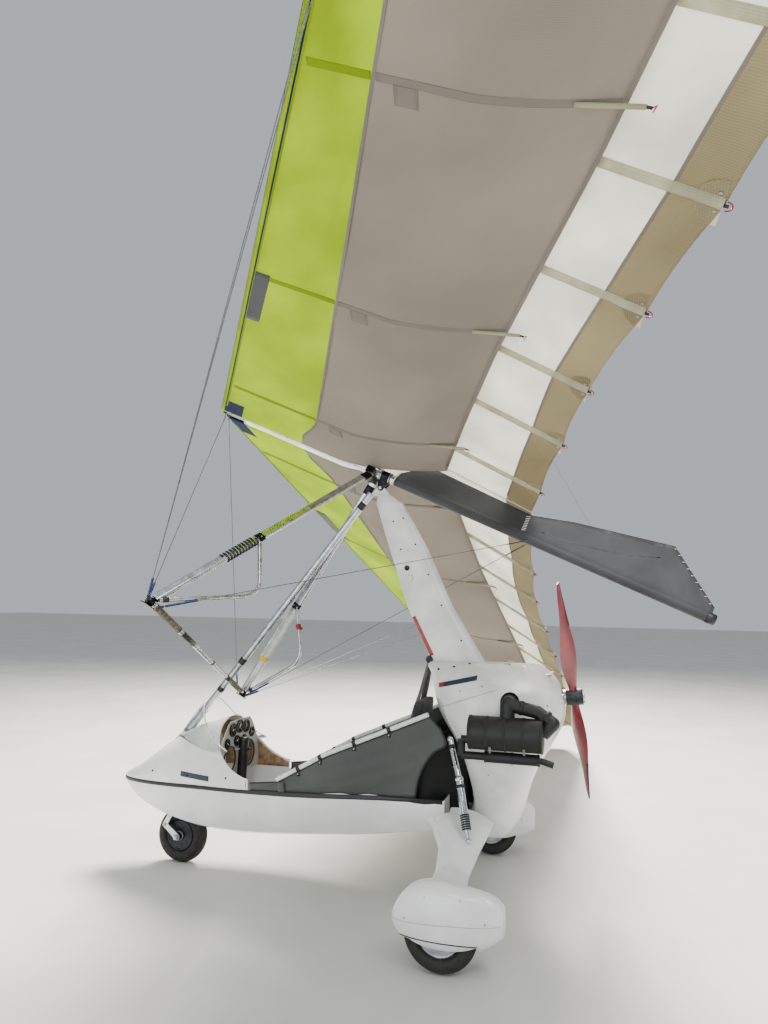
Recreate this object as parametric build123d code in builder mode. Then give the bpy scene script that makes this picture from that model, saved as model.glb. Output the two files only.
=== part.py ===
from build123d import *
from math import cos, radians, sin, tan
import os

# Flex-wing microlight trike, parked with its wing banked to starboard.
# Millimetres, X forward, Y to port, Z up. Trike pieces are laid out from the main axle
# line on the ground; the wing's own pieces from the point where it hangs on its keel.

# Driving dimensions of the trike
wheelbase = 1824.0
track = 1592.0
main_tyre_radius = 170.0
nose_tyre_radius = 165.0
tyre_width = 100.0
tyre_crown = 26.0
main_rim_radius = 98.0
nose_rim_radius = 92.0
rim_width = 74.0
axle_radius = 10.0
running_gap = 0.05
seat_gap = 0.3

# Steering
rake = 15.0
steer_pivot_x = 1850.0
steer_pivot_z = 330.0
stem_radius = 12.0
stem_length = 175.0
head_radius = 22.0
fork_plate = 10.0
fork_gap = 14.0
crown_bottom = 343.0
crown_height = 15.0
axle_overhang = 22.0

# Pod
pod_wall = 6.0
pod_front = 2264.0
pod_rear = 90.0
cockpit_front = 1500.0
arch_front = 2030.0
arch_rear = 1655.0
arch_half_width = 126.0
arch_top = 372.0
beam_radius = 25.0
beam_height = 402.0
beam_rear = 24.0
beam_rear_z = 456.0
beam_kink = 600.0
mast_top_x = 185.0
mast_top_z = 1291.7
cross_beam_z = 470.0
leg_root = 262.0
strut_eye = (66.0, 262.0, 905.0)
strut_middle = (0.0, 352.0, 727.0)
strut_foot = (-72.0, 478.0, 467.5)
strut_beam_root = 125.0
strut_beam_end = (75.0, 245.7)
strut_beam_radius = 14.0
panel_x = 1455.0
panel_thickness = 6.0
panel_bottom = 565.0
panel_top = 890.0
foot_well_y = 125.0
foot_well_z = 665.0
foot_well_half_width = 68.0
foot_well_half_height = 76.0
screen_wall = 4.0
seat_half_width = 150.0
rail_y = 290.0
rail_radius = 12.5

# Cowling and engine
cowl_wall = 6.0
engine_length = 400.0
engine_width = 340.0
engine_height = 220.0
engine_x = -190.0
engine_z = 1085.0
engine_front = engine_x + engine_length / 2 + seat_gap

# Propeller
prop_radius = 700.0
prop_x = -573.0
prop_z = 1136.0
prop_lean = 5.9
prop_turn = 29.0
hub_radius = 46.0
hub_length = 84.0
shaft_radius = 15.0
flange_radius = 40.0
flange_thickness = 12.0

# Pylon, front strut and hang point
pylon_top = 2285.0
head_thickness = 24.0
strut_radius = 22.0
strut_foot_x = 1828.0
strut_foot_z = 784.0
strut_top_x = 625.0
strut_top_z = 2300.0
hang_x = 584.0
hang_z = 2425.0
keel_nose_up = 24.5
bank = 24.0
pivot_back = 60.0
pivot_drop = 75.0
bolt_radius = 6.0
cheek_thickness = 8.0
collar_wall = 8.0
collar_length = 70.0

# Wing
keel_radius = 27.5
tube_wall = 2.5
keel_front = 1165.0
keel_rear = 2065.0
edge_tube_radius = 26.0
cross_tube_radius = 25.0
sail_edge_radius = 40.0
sail_thickness = 3.0
hem_drop = 30.0
nose_x = 1220.0
sweep_slope = 0.46
dihedral_slope = 0.052
tip_y = 4850.0
junction_y = 2750.0
bar_x = 270.0
bar_half_width = 785.0
bar_drop = 1460.0
bar_radius = 14.0
apex_x = 18.0
apex_half_width = 66.0
apex_drop = 52.0
upright_chord = 50.0
upright_thickness = 25.0
training_radius = 11.0
training_hold = 0.575
training_bend = (-48.0, 523.0, -1142.0)
training_bend_reach = 95.0
knuckle_radius = 24.0
tang_radius = 38.0
tang_top = -19.0
wire_radius = 2.0
king_post_height = 1380.0
king_post_radius = 20.0
tang_x = 1010.0
plate_thickness = 3.3

# Sections of the pod below the trim line: station, half width, trim height, belly height
POD_LOWER = [
    (2264.0, 12.0, 488.0, 474.0),
    (2170.0, 86.0, 496.0, 405.0),
    (2040.0, 152.0, 508.0, 346.0),
    (1850.0, 215.0, 522.0, 290.0),
    (1600.0, 262.0, 537.0, 250.0),
    (1290.0, 288.0, 546.0, 247.0),
    (900.0, 298.0, 560.0, 282.0),
    (410.0, 298.0, 590.0, 345.0),
    (90.0, 288.0, 597.0, 388.0),
]
# Sections of the nose cone above the trim line: station, half width, trim height, top height
POD_UPPER = [
    (2264.0, 12.0, 488.0, 496.0),
    (2170.0, 86.0, 496.0, 557.0),
    (2026.0, 158.0, 509.0, 652.0),
    (1849.0, 215.0, 522.0, 777.0),
    (1660.0, 252.0, 534.0, 862.0),
    (1470.0, 275.0, 541.0, 925.0),
    (1180.0, 292.0, 549.0, 955.0),
]
# Sections of the windscreen: station, half width, base height, top height
SCREEN = [
    (1890.0, 62.0, 690.0, 765.0),
    (1760.0, 150.0, 690.0, 912.0),
    (1640.0, 205.0, 680.0, 1035.0),
    (1500.0, 242.0, 650.0, 1085.0),
    (1370.0, 262.0, 610.0, 1085.0),
]
# Side outlines of the seats: name, points (x, z)
SEATS = [
    (
        "seat_front",
        [(1080, 427.3), (1080, 500), (760, 495), (640, 800), (575, 790), (690, 427.3)],
    ),
    ("seat_rear", [(560, 560), (560, 640), (370, 640), (300, 1080), (240, 1080), (300, 560)]),
]
# Corners of a side rail: station, height
RAIL = [(1056.4, 623.3), (765.8, 783.7), (181.2, 1033.8)]
# Cradles that carry the beam on the tub's floor: station, width
CRADLES = [(1290.0, 70.0), (600.0, 70.0)]
# Pipes and drums of the exhaust: start, end, radius
EXHAUST = [
    ((-58, 372, 974), (-428, 372, 974), 84),
    ((-136, 372, 856), (-413, 372, 856), 28),
    ((-58, 372, 935), (-15, 372, 935), 20),
    ((-15, 372, 935), (-15, 372, 856), 20),
    ((-15, 372, 856), (-136, 372, 856), 20),
    ((-413, 372, 856), (-480, 372, 838), 16),
    ((-428, 372, 985), (-480, 372, 1040), 34),
    ((-480, 372, 1040), (-400, 340, 1088), 34),
    ((-400, 340, 1088), (-250, 345, 1118), 34),
    ((-250, engine_width / 2 + seat_gap, 1118), (-250, 345, 1118), 38),
    ((-250, 345, 1118), (-250, 368, 1010), 38),
]
# Bends of the exhaust where pipes of one radius meet
EXHAUST_BENDS = [(-250, 345, 1118), (-480, 372, 1040), (-400, 340, 1088)]
exhaust_bend_radius = 34.0
# Level sections of the engine cowling: height, rear, front, half width
COWL = [
    (395.0, -222.0, -30.0, 135.0),
    (480.0, -281.0, 0.0, 195.0),
    (600.0, -322.0, -25.0, 240.0),
    (760.0, -385.0, 20.0, 268.0),
    (900.0, -470.0, 90.0, 276.0),
    (1040.0, -525.0, 175.0, 272.0),
    (1160.0, -514.0, 205.0, 245.0),
    (1250.0, -462.0, 236.0, 180.0),
    (1300.0, -400.0, 222.0, 90.0),
]
# Level sections of the pylon fairing: height, rear, front, half thickness
PYLON = [
    (1300.0, -85.0, 226.0, 44.0),
    (1620.0, 108.0, 385.0, 37.0),
    (1969.0, 267.0, 502.0, 34.0),
    (2236.0, 418.0, 588.0, 32.0),
    (2285.0, 486.0, 580.0, 26.0),
]
# Sections across a main leg: distance out, rear, front, bottom, top
LEG = [
    (leg_root, -168.0, 205.0, 440.0, 562.0),
    (330.0, -160.0, 150.0, 420.0, 540.0),
    (460.0, -122.0, 82.0, 350.0, 470.0),
    (600.0, -96.0, 68.0, 300.0, 392.0),
    (703.7, -98.0, 78.0, 285.0, 352.0),
]
# Sections of a wheel spat: station, bottom, top, half width
SPAT = [
    (225.0, 196.0, 232.0, 14.0),
    (180.0, 135.0, 312.0, 56.0),
    (105.0, 104.0, 372.0, 82.0),
    (0.0, 92.0, 388.0, 92.0),
    (-130.0, 104.0, 372.0, 84.0),
    (-285.0, 188.0, 312.0, 52.0),
]
# Sections of a propeller blade: radius, chord, thickness, pitch angle
BLADE = [
    (30.0, 44.0, 30.0, 62.0),
    (120.0, 78.0, 28.0, 50.0),
    (260.0, 142.0, 20.0, 34.0),
    (420.0, 122.0, 14.0, 24.0),
    (580.0, 82.0, 9.0, 18.0),
    (700.0, 36.0, 5.0, 15.0),
]
# Ribs of the sail: distance out, trailing edge, trailing edge height, crown, lower skin's hem
RIBS = [
    (6.0, -950.0, 170.0, 190.0, -380.0),
    (32.0, -955.0, 170.0, 190.0, -385.0),
    (550.0, -1020.0, 166.0, 198.0, -495.0),
    (1200.0, -1105.0, 172.0, 188.0, -655.0),
    (2200.0, -1365.0, 202.0, 160.0, -950.0),
    (3300.0, -1620.0, 270.0, 126.0, -1230.0),
    (4300.0, -1830.0, 350.0, 84.0, -1500.0),
    (4850.0, -1700.0, 385.0, 42.0, -1500.0),
]
# Outline of the keel pocket and fin: along the keel, height
FIN = [
    (-330.0, 28.0),
    (-330.0, 180.0),
    (-960.0, 150.0),
    (-962.0, 172.0),
    (-1748.0, 324.0),
    (-2050.0, 60.0),
    (-2050.0, 28.0),
]
SIDES = [("left", 1.0), ("right", -1.0)]


def edge_x(y):
    """The leading edge's place along the keel at a distance out."""
    return nose_x - sweep_slope * y


def edge_z(y):
    """The leading edge's height at a distance out."""
    return dihedral_slope * y


# Directions of the parked wing
keel_way = Vector(cos(radians(keel_nose_up)), 0, sin(radians(keel_nose_up)))
keel_up = Vector(-sin(radians(keel_nose_up)), 0, cos(radians(keel_nose_up)))
wing_port = Vector(0, 1, 0) * cos(radians(bank)) + keel_up * sin(radians(bank))
wing_up = keel_up * cos(radians(bank)) - Vector(0, 1, 0) * sin(radians(bank))
hang_point = Vector(hang_x, 0, hang_z)
pivot = hang_point - keel_way * pivot_back - keel_up * pivot_drop


def wing_point(x, y, z):
    """A point of the wing's own frame, placed on the parked machine."""
    return hang_point + keel_way * x + wing_port * y + wing_up * z


# The origin is on the ground below the middle of the whole machine
port_tip = wing_point(RIBS[-1][1], tip_y, RIBS[-1][2])
starboard_tip = wing_point(edge_x(tip_y), -tip_y, edge_z(tip_y))
rear_corner = wing_point(RIBS[-2][1], RIBS[-2][0], RIBS[-2][2])
middle_x = (pod_front + rear_corner.X) / 2
middle_y = (port_tip.Y + starboard_tip.Y) / 2
on_ground = Location((-middle_x, -middle_y, 0))
on_wing = on_ground * Plane(origin=hang_point, x_dir=keel_way, z_dir=wing_up).location
on_bracket = on_ground * Plane(origin=hang_point, x_dir=keel_way, z_dir=keel_up).location

os.makedirs("parts", exist_ok=True)


def finish(piece, name, place=on_ground):
    """Set a finished piece in the machine, label it and write it."""
    solid = piece.part.moved(place)
    solid.label = name
    export_step(solid, f"parts/{name}.step")


def rod(start, end, radius, mode=Mode.ADD):
    """A round bar from one point to another."""
    run = Vector(*end) - Vector(*start)
    with Locations(Plane(origin=start, z_dir=run)):
        Cylinder(radius, run.length, align=(Align.CENTER, Align.CENTER, Align.MIN), mode=mode)


def ring(centre, way, outer, inner, length, mode=Mode.ADD):
    """A round sleeve, centred on a point."""
    with Locations(Plane(origin=centre, z_dir=way)):
        Cylinder(outer, length, mode=mode)
        Cylinder(inner, length, mode=Mode.SUBTRACT)


def tub_section(x, half_width, trim, belly, inset=0.0):
    """The pod's section below the trim line, from side to side round the belly."""
    w = half_width - inset
    b = belly + inset
    h = trim - b
    with BuildSketch(Plane(origin=(x, 0, 0), x_dir=(0, 1, 0), z_dir=(1, 0, 0))) as section:
        with BuildLine():
            Line((-w, trim), (w, trim))
            ThreePointArc((w, trim), (w * 0.98, b + h * 0.55), (w * 0.84, b + h * 0.20))
            ThreePointArc((w * 0.84, b + h * 0.20), (0, b), (-w * 0.84, b + h * 0.20))
            ThreePointArc((-w * 0.84, b + h * 0.20), (-w * 0.98, b + h * 0.55), (-w, trim))
        make_face()
    return section.sketch


def hood_section(x, half_width, trim, top, inset=0.0):
    """An arched section that stands on the trim line."""
    w = half_width - inset
    t = top - inset
    h = t - trim
    with BuildSketch(Plane(origin=(x, 0, 0), x_dir=(0, 1, 0), z_dir=(1, 0, 0))) as section:
        with BuildLine():
            Line((-w, trim), (w, trim))
            ThreePointArc((w, trim), (w * 0.90, trim + h * 0.50), (w * 0.56, trim + h * 0.86))
            ThreePointArc((w * 0.56, trim + h * 0.86), (0, t), (-w * 0.56, trim + h * 0.86))
            ThreePointArc((-w * 0.56, trim + h * 0.86), (-w * 0.90, trim + h * 0.50), (-w, trim))
        make_face()
    return section.sketch


def level_section(z, rear, front, half_width, inset=0.0):
    """A level section with round ends, blunt ahead and tapered behind."""
    x0 = rear + inset
    x1 = front - inset
    w = half_width - inset
    c = x1 - x0
    with BuildSketch(Plane.XY.offset(z)) as section:
        with BuildLine():
            ThreePointArc((x0 + c * 0.14, -w * 0.72), (x0, 0), (x0 + c * 0.14, w * 0.72))
            ThreePointArc((x0 + c * 0.14, w * 0.72), (x0 + c * 0.5, w), (x1 - c * 0.10, w * 0.80))
            ThreePointArc((x1 - c * 0.10, w * 0.80), (x1, 0), (x1 - c * 0.10, -w * 0.80))
            ThreePointArc((x1 - c * 0.10, -w * 0.80), (x0 + c * 0.5, -w), (x0 + c * 0.14, -w * 0.72))
        make_face()
    return section.sketch


def blade_section(plane, chord, thickness):
    """A lens between two arcs."""
    with BuildSketch(plane) as section:
        with BuildLine():
            ThreePointArc((-chord / 2, 0), (0, thickness / 2), (chord / 2, 0))
            ThreePointArc((chord / 2, 0), (0, -thickness / 2), (-chord / 2, 0))
        make_face()
    return section.sketch


def edge_point(y, side):
    """A point on the leading edge tube's axis."""
    return (edge_x(y) - sail_edge_radius, side * y, edge_z(y))


def upper_height(row, x):
    """Height of the sail's upper skin on one rib at a place along the keel."""
    y, te_x, te_z, crown, hem = row
    chord = edge_x(y) - te_x
    s = (edge_x(y) - x) / chord
    base = edge_z(y) + (te_z - edge_z(y)) * s
    if s < 0.62:
        rise = 1.0 - 0.28 * ((s - 0.30) / 0.32) ** 2
    else:
        rise = 0.72 * (1.0 - s) / 0.38
    return base + crown * rise


def upper_skin(row, side):
    """The upper skin's section on one rib, with the sleeve round the leading edge."""
    y, te_x, te_z, crown, hem = row
    x0 = edge_x(y)
    z0 = edge_z(y)
    r = sail_edge_radius
    t = sail_thickness
    chord = x0 - te_x
    xc = x0 - 0.30 * chord
    xd = x0 - 0.62 * chord
    with BuildSketch(Plane(origin=(0, side * y, 0), x_dir=(1, 0, 0), z_dir=(0, -1, 0))) as section:
        with BuildLine():
            ThreePointArc((x0 - r, z0 - r), (x0, z0), (x0 - r, z0 + r))
            ThreePointArc((x0 - r, z0 + r), (xc, upper_height(row, xc)), (xd, upper_height(row, xd)))
            Line((xd, upper_height(row, xd)), (te_x, te_z))
            Line((te_x, te_z), (te_x, te_z - t))
            Line((te_x, te_z - t), (xd, upper_height(row, xd) - t))
            ThreePointArc(
                (xd, upper_height(row, xd) - t), (xc, upper_height(row, xc) - t), (x0 - r, z0 + r - t)
            )
            ThreePointArc((x0 - r, z0 + r - t), (x0 - t, z0), (x0 - r, z0 - r + t))
            Line((x0 - r, z0 - r + t), (x0 - r, z0 - r))
        make_face()
    return section.sketch


def lower_skin(row, side):
    """The lower skin's section on one rib, from the leading edge to its hem."""
    y, te_x, te_z, crown, hem = row
    x0 = edge_x(y) - sail_edge_radius - seat_gap
    z0 = edge_z(y) - sail_edge_radius
    t = sail_thickness
    x1 = hem
    z1 = upper_height(row, hem) - hem_drop
    xk = x0 + (x1 - x0) * 0.60
    zk = z0 + (z1 - z0) * 0.02
    xm = (xk + x1) / 2
    zm = zk + (z1 - zk) * 0.36
    with BuildSketch(Plane(origin=(0, side * y, 0), x_dir=(1, 0, 0), z_dir=(0, -1, 0))) as section:
        with BuildLine():
            Line((x0, z0), (xk, zk))
            ThreePointArc((xk, zk), (xm, zm), (x1, z1))
            Line((x1, z1), (x1, z1 + t))
            ThreePointArc((x1, z1 + t), (xm, zm + t), (xk, zk + t))
            Line((xk, zk + t), (x0, z0 + t))
            Line((x0, z0 + t), (x0, z0))
        make_face()
    return section.sketch


def loft_of(sections, mode=Mode.ADD, ruled=False):
    """A body through sections, in the part that is being made."""
    return loft(sections, ruled=ruled, mode=mode)


# Solids that others are cut to
with BuildPart() as cowl_form:
    loft_of([level_section(*row) for row in COWL])
with BuildPart() as tub_form:
    loft_of([tub_section(*row) for row in POD_LOWER])
with BuildPart() as hood_form:
    loft_of([hood_section(*row) for row in POD_UPPER])

with BuildPart() as strut_room:
    rod((strut_foot_x, 0, strut_foot_z - 60), (strut_foot_x, 0, 900), strut_radius + 30)
    rod((strut_foot_x, 0, strut_foot_z), (strut_top_x, 0, strut_top_z), strut_radius + 6)

inner_rows = [
    (2150.0, 92.0, 520.0, 428.0),
    *[(x, w, trim + 30.0, belly) for x, w, trim, belly in POD_LOWER[2:-1]],
    (pod_rear + pod_wall, 288.0, 627.0, 388.0),
]
with BuildPart() as tub_inside:
    loft_of([tub_section(*row, inset=pod_wall) for row in inner_rows])
inner_rows = [
    (2150.0, 92.0, 470.0, 566.0),
    *[(x, w, trim - 20.0, top) for x, w, trim, top in POD_UPPER[2:-1]],
    (1150.0, 292.0, 520.0, 955.0),
]
with BuildPart() as hood_inside:
    loft_of([hood_section(*row, inset=pod_wall) for row in inner_rows])

# Pod: lower tub
with BuildPart() as pod_lower:
    loft_of([tub_section(*row) for row in POD_LOWER])
    add(tub_inside.part, mode=Mode.SUBTRACT)
    with Locations(((arch_front + arch_rear) / 2, 0, arch_top)):
        Box(
            arch_front - arch_rear,
            2 * arch_half_width,
            2 * arch_top,
            align=(Align.CENTER, Align.CENTER, Align.MAX),
            mode=Mode.SUBTRACT,
        )
    rod((0, 0, beam_rear_z), (200, 0, beam_rear_z), beam_radius + 20, mode=Mode.SUBTRACT)
finish(pod_lower, "pod_lower")

# Pod: nose cone with the cockpit's front rim
with BuildPart() as nose_cone:
    loft_of([hood_section(*row) for row in POD_UPPER])
    add(hood_inside.part, mode=Mode.SUBTRACT)
    with BuildSketch(Plane.XZ) as rim_cut:
        with BuildLine():
            ThreePointArc((cockpit_front, 1010), (1428, 705), (1240, 600))
            Line((1240, 600), (1240, 400))
            Line((1240, 400), (1000, 400))
            Line((1000, 400), (1000, 1010))
            Line((1000, 1010), (cockpit_front, 1010))
        make_face()
    extrude(amount=400, both=True, mode=Mode.SUBTRACT)
    # the front strut's foot passes through the cone's top
    add(strut_room.part, mode=Mode.SUBTRACT)
finish(nose_cone, "nose_cone")

# Windscreen, a thin wrapped sheet that stands on the nose cone
with BuildPart() as windscreen:
    loft_of([hood_section(*row) for row in SCREEN])
    inner_rows = [(x, w, base - 20, top) for x, w, base, top in SCREEN]
    inner_rows[0] = (1896.0, 62.0, 670.0, 765.0)
    inner_rows[-1] = (1364.0, 262.0, 590.0, 1085.0)
    loft_of([hood_section(*row, inset=screen_wall) for row in inner_rows], mode=Mode.SUBTRACT)
    add(hood_form.part, mode=Mode.SUBTRACT)
    with BuildSketch(Plane.XZ) as screen_cut:
        with BuildLine():
            ThreePointArc((1664, 1022), (1560, 850), (1400, 745))
            Line((1400, 745), (1300, 600))
            Line((1300, 600), (1200, 1200))
            Line((1200, 1200), (1664, 1200))
            Line((1664, 1200), (1664, 1022))
        make_face()
    extrude(amount=400, both=True, mode=Mode.SUBTRACT)
    add(strut_room.part, mode=Mode.SUBTRACT)
finish(windscreen, "windscreen")

# Instrument panel with two foot wells
with BuildPart() as instrument_panel:
    with BuildSketch(Plane(origin=(panel_x, 0, 0), x_dir=(0, 1, 0), z_dir=(1, 0, 0))):
        with Locations((0, (panel_bottom + panel_top) / 2)):
            Rectangle(600, panel_top - panel_bottom)
        with Locations((foot_well_y, foot_well_z), (-foot_well_y, foot_well_z)):
            Ellipse(foot_well_half_width, foot_well_half_height, mode=Mode.SUBTRACT)
    extrude(amount=panel_thickness)
    add(hood_inside.part, mode=Mode.INTERSECT)
finish(instrument_panel, "instrument_panel")

# Central beam, steering head and seats
head_way = Vector(-sin(radians(rake)), 0, cos(radians(rake)))
steer_point = Vector(steer_pivot_x, 0, steer_pivot_z)
head_start = steer_point + head_way * 40.0
head_end = steer_point + head_way * stem_length
with BuildPart() as steering_head:
    rod(head_start, head_end, head_radius)
    rod(
        (head_start - head_way * 5),
        (head_end + head_way * 5),
        stem_radius + running_gap,
        mode=Mode.SUBTRACT,
    )
finish(steering_head, "steering_head")

# Beam, mast behind the rear seat, cross beams to the legs and suspension, brackets
with BuildPart() as cradles:
    for x, width in CRADLES:
        with Locations((x, 0, beam_height)):
            Box(30, width, 2 * beam_height, align=(Align.CENTER, Align.CENTER, Align.MAX))
    add(tub_inside.part, mode=Mode.INTERSECT)
with BuildPart() as trike_beam:
    add(cradles.part)
    rod((beam_kink, 0, beam_height), (steer_pivot_x, 0, beam_height), beam_radius)
    rod((beam_rear, 0, beam_rear_z), (beam_kink, 0, beam_height), beam_radius)
    with Locations((beam_rear, 0, beam_rear_z), (beam_kink, 0, beam_height)):
        Sphere(beam_radius)
    rod((beam_rear, 0, beam_rear_z), (mast_top_x, 0, mast_top_z), beam_radius)
    leg_end = leg_root - seat_gap
    rod((beam_rear, -leg_end, cross_beam_z), (beam_rear, leg_end, cross_beam_z), 22)
    beam_root = (strut_beam_root, 0, strut_eye[2])
    for side in (1.0, -1.0):
        rod(beam_root, (strut_beam_end[0], side * strut_beam_end[1], strut_eye[2]), strut_beam_radius)
    with Locations(((engine_front + 120) / 2, 0, 1030)):
        Box(120 - engine_front, 110, 60)
    with Locations((430, 0, beam_height)):
        Box(90, 110, 560 - seat_gap - beam_height, align=(Align.CENTER, Align.CENTER, Align.MIN))
    with Locations((mast_top_x, 0, mast_top_z)):
        Box(200, 200, 60, align=(Align.CENTER, Align.CENTER, Align.MIN), mode=Mode.SUBTRACT)
    rod(
        (head_start - head_way * 80),
        (head_end + head_way * 80),
        head_radius + seat_gap,
        mode=Mode.SUBTRACT,
    )
    with Locations((steer_pivot_x + 60, 0, beam_height)):
        Box(160, 160, 160, mode=Mode.SUBTRACT)
finish(trike_beam, "trike_beam")

# Seats, one solid each
for name, outline in SEATS:
    with BuildPart() as seat:
        with BuildSketch(Plane.XZ):
            with BuildLine():
                Polyline(*outline, close=True)
            make_face()
        extrude(amount=seat_half_width, both=True)
    finish(seat, name)

# Side rails and fabric side panels
for name, side in SIDES:
    with BuildPart() as side_rail:
        for start, end in zip(RAIL, RAIL[1:]):
            rod((start[0], side * rail_y, start[1]), (end[0], side * rail_y, end[1]), rail_radius)
            with Locations((start[0], side * rail_y, start[1])):
                Sphere(rail_radius)
    finish(side_rail, f"side_rail_{name}")
    with BuildPart() as side_panel:
        with BuildSketch(Plane.XZ.offset(-side * rail_y)):
            with BuildLine():
                Polyline(
                    (1230, 530), (1230, 590), (1050, 612), (760, 772), (176, 1022), (120, 970), (84, 885)
                )
                ThreePointArc((84, 885), (215, 745), (250, 580))
                Line((250, 580), (1230, 530))
            make_face()
        extrude(amount=4, both=True)
        add(tub_form.part, mode=Mode.SUBTRACT)
    finish(side_panel, f"side_panel_{name}")

# Engine cowling, open at the bottom rear for the shaft and at port for the exhaust
thrust_way = Vector(-cos(radians(prop_lean)), 0, sin(radians(prop_lean)))
prop_centre = Vector(prop_x, 0, prop_z)
flange_face = prop_centre - thrust_way * (hub_length / 2 + seat_gap)
with BuildPart() as engine_cowling:
    loft_of([level_section(*row) for row in COWL])
    inner_rows = [list(row) for row in COWL]
    inner_rows[0][0] += 12.0
    inner_rows[-1][0] -= 8.0
    loft_of([level_section(*row, inset=cowl_wall) for row in inner_rows], mode=Mode.SUBTRACT)
    rod(
        (prop_centre - thrust_way * 200),
        prop_centre,
        flange_radius + 12,
        mode=Mode.SUBTRACT,
    )
    rod((-250, 150, 1118), (-250, 400, 1118), 50, mode=Mode.SUBTRACT)
    # the mast comes in through the front wall
    mast_foot = Vector(beam_rear, 0, beam_rear_z)
    mast_top = Vector(mast_top_x, 0, mast_top_z)
    rod(mast_foot, mast_foot + (mast_top - mast_foot) * 0.95, beam_radius + 4, mode=Mode.SUBTRACT)
    with Locations(mast_foot):
        Sphere(beam_radius + 4, mode=Mode.SUBTRACT)
    for side in (1.0, -1.0):
        beam_end = (strut_beam_end[0], side * strut_beam_end[1], strut_eye[2])
        rod(beam_root, beam_end, strut_beam_radius + 4, mode=Mode.SUBTRACT)
    rod((beam_rear, -300, cross_beam_z), (beam_rear, 300, cross_beam_z), 24, mode=Mode.SUBTRACT)
finish(engine_cowling, "engine_cowling")

with BuildPart() as engine_block:
    with Locations((engine_x, 0, engine_z)):
        Box(engine_length, engine_width, engine_height)
    fillet(engine_block.edges().filter_by(Axis.Y), 30)
finish(engine_block, "engine_block")

with BuildPart() as prop_shaft:
    shaft_start = flange_face - thrust_way * 150
    rod(shaft_start, (prop_centre + thrust_way * (hub_length / 2)), shaft_radius)
    rod((flange_face - thrust_way * flange_thickness), flange_face, flange_radius)
    with Locations((engine_x, 0, engine_z)):
        Box(engine_length, engine_width, engine_height, mode=Mode.SUBTRACT)
finish(prop_shaft, "prop_shaft")

# Propeller
with BuildPart() as prop_hub:
    rod(
        (prop_centre - thrust_way * hub_length / 2),
        (prop_centre + thrust_way * hub_length / 2),
        hub_radius,
    )
    rod(
        (prop_centre - thrust_way * hub_length),
        (prop_centre + thrust_way * hub_length),
        shaft_radius + running_gap,
        mode=Mode.SUBTRACT,
    )
disc_up = Vector(0, 1, 0) * sin(radians(prop_turn)) + Vector(
    sin(radians(prop_lean)), 0, cos(radians(prop_lean))
) * cos(radians(prop_turn))
with BuildPart() as prop_blades:
    for half in (1.0, -1.0):
        blade_way = disc_up * half
        across = blade_way.cross(thrust_way)
        sections = []
        for radius, chord, thickness, pitch in BLADE:
            chord_way = across * cos(radians(pitch)) + thrust_way * sin(radians(pitch))
            plane = Plane(origin=prop_centre + blade_way * radius, x_dir=chord_way, z_dir=blade_way)
            sections.append(blade_section(plane, chord, thickness))
        loft_of(sections)
    add(prop_hub.part, mode=Mode.SUBTRACT)
    rod(
        (prop_centre - thrust_way * hub_length),
        (prop_centre + thrust_way * hub_length),
        shaft_radius + 20,
        mode=Mode.SUBTRACT,
    )
finish(prop_hub, "prop_hub")
finish(prop_blades, "prop_blades")

# Exhaust: silencer, after-silencer and their pipes
with BuildPart() as exhaust:
    for start, end, radius in EXHAUST:
        rod(start, end, radius)
    with Locations(*EXHAUST_BENDS):
        Sphere(exhaust_bend_radius)
finish(exhaust, "exhaust")

# Pylon fairing and head
with BuildPart() as pylon_fairing:
    loft_of([level_section(*row) for row in PYLON], ruled=True)
    add(cowl_form.part, mode=Mode.SUBTRACT)
    pylon_solid = pylon_fairing.part.solids().sort_by(Axis.Z)[-1]
with BuildPart() as pylon_only:
    add(pylon_solid)
finish(pylon_only, "pylon_fairing")

strut_way = (Vector(strut_top_x, 0, strut_top_z) - Vector(strut_foot_x, 0, strut_foot_z)).normalized()
with BuildPart() as pylon_head:
    with BuildSketch(Plane.XZ):
        with Locations((pivot.X, pivot.Z)):
            Circle(18)
        with Locations((strut_top_x - 22, strut_top_z - 12)):
            Circle(18)
        with Locations((533, 2290)):
            Circle(24)
        make_hull()
    extrude(amount=head_thickness / 2, both=True)
    with Locations((533, 0, pylon_top)):
        Box(200, 100, 100, align=(Align.CENTER, Align.CENTER, Align.MAX), mode=Mode.SUBTRACT)
    rod((pivot.X, -40, pivot.Z), (pivot.X, 40, pivot.Z), bolt_radius + running_gap, mode=Mode.SUBTRACT)
    rod(
        (strut_foot_x, 0, strut_foot_z),
        (Vector(strut_top_x, 0, strut_top_z) + strut_way * 3),
        strut_radius + seat_gap,
        mode=Mode.SUBTRACT,
    )
finish(pylon_head, "pylon_head")

with BuildPart() as front_strut:
    rod((strut_foot_x, 0, strut_foot_z), (strut_top_x, 0, strut_top_z), strut_radius)
    rod((strut_foot_x - strut_way.X * 8, 0, strut_foot_z - strut_way.Z * 8), (1822, 0, 715), 16)
    prong_y = head_radius + 10 + seat_gap
    with Locations((1822, 0, 708)):
        Box(32, 2 * prong_y + 20, 22)
    for side in (1.0, -1.0):
        rod((1822, side * prong_y, 705), (1808, side * prong_y, 425), 10)
finish(front_strut, "front_strut")

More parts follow.
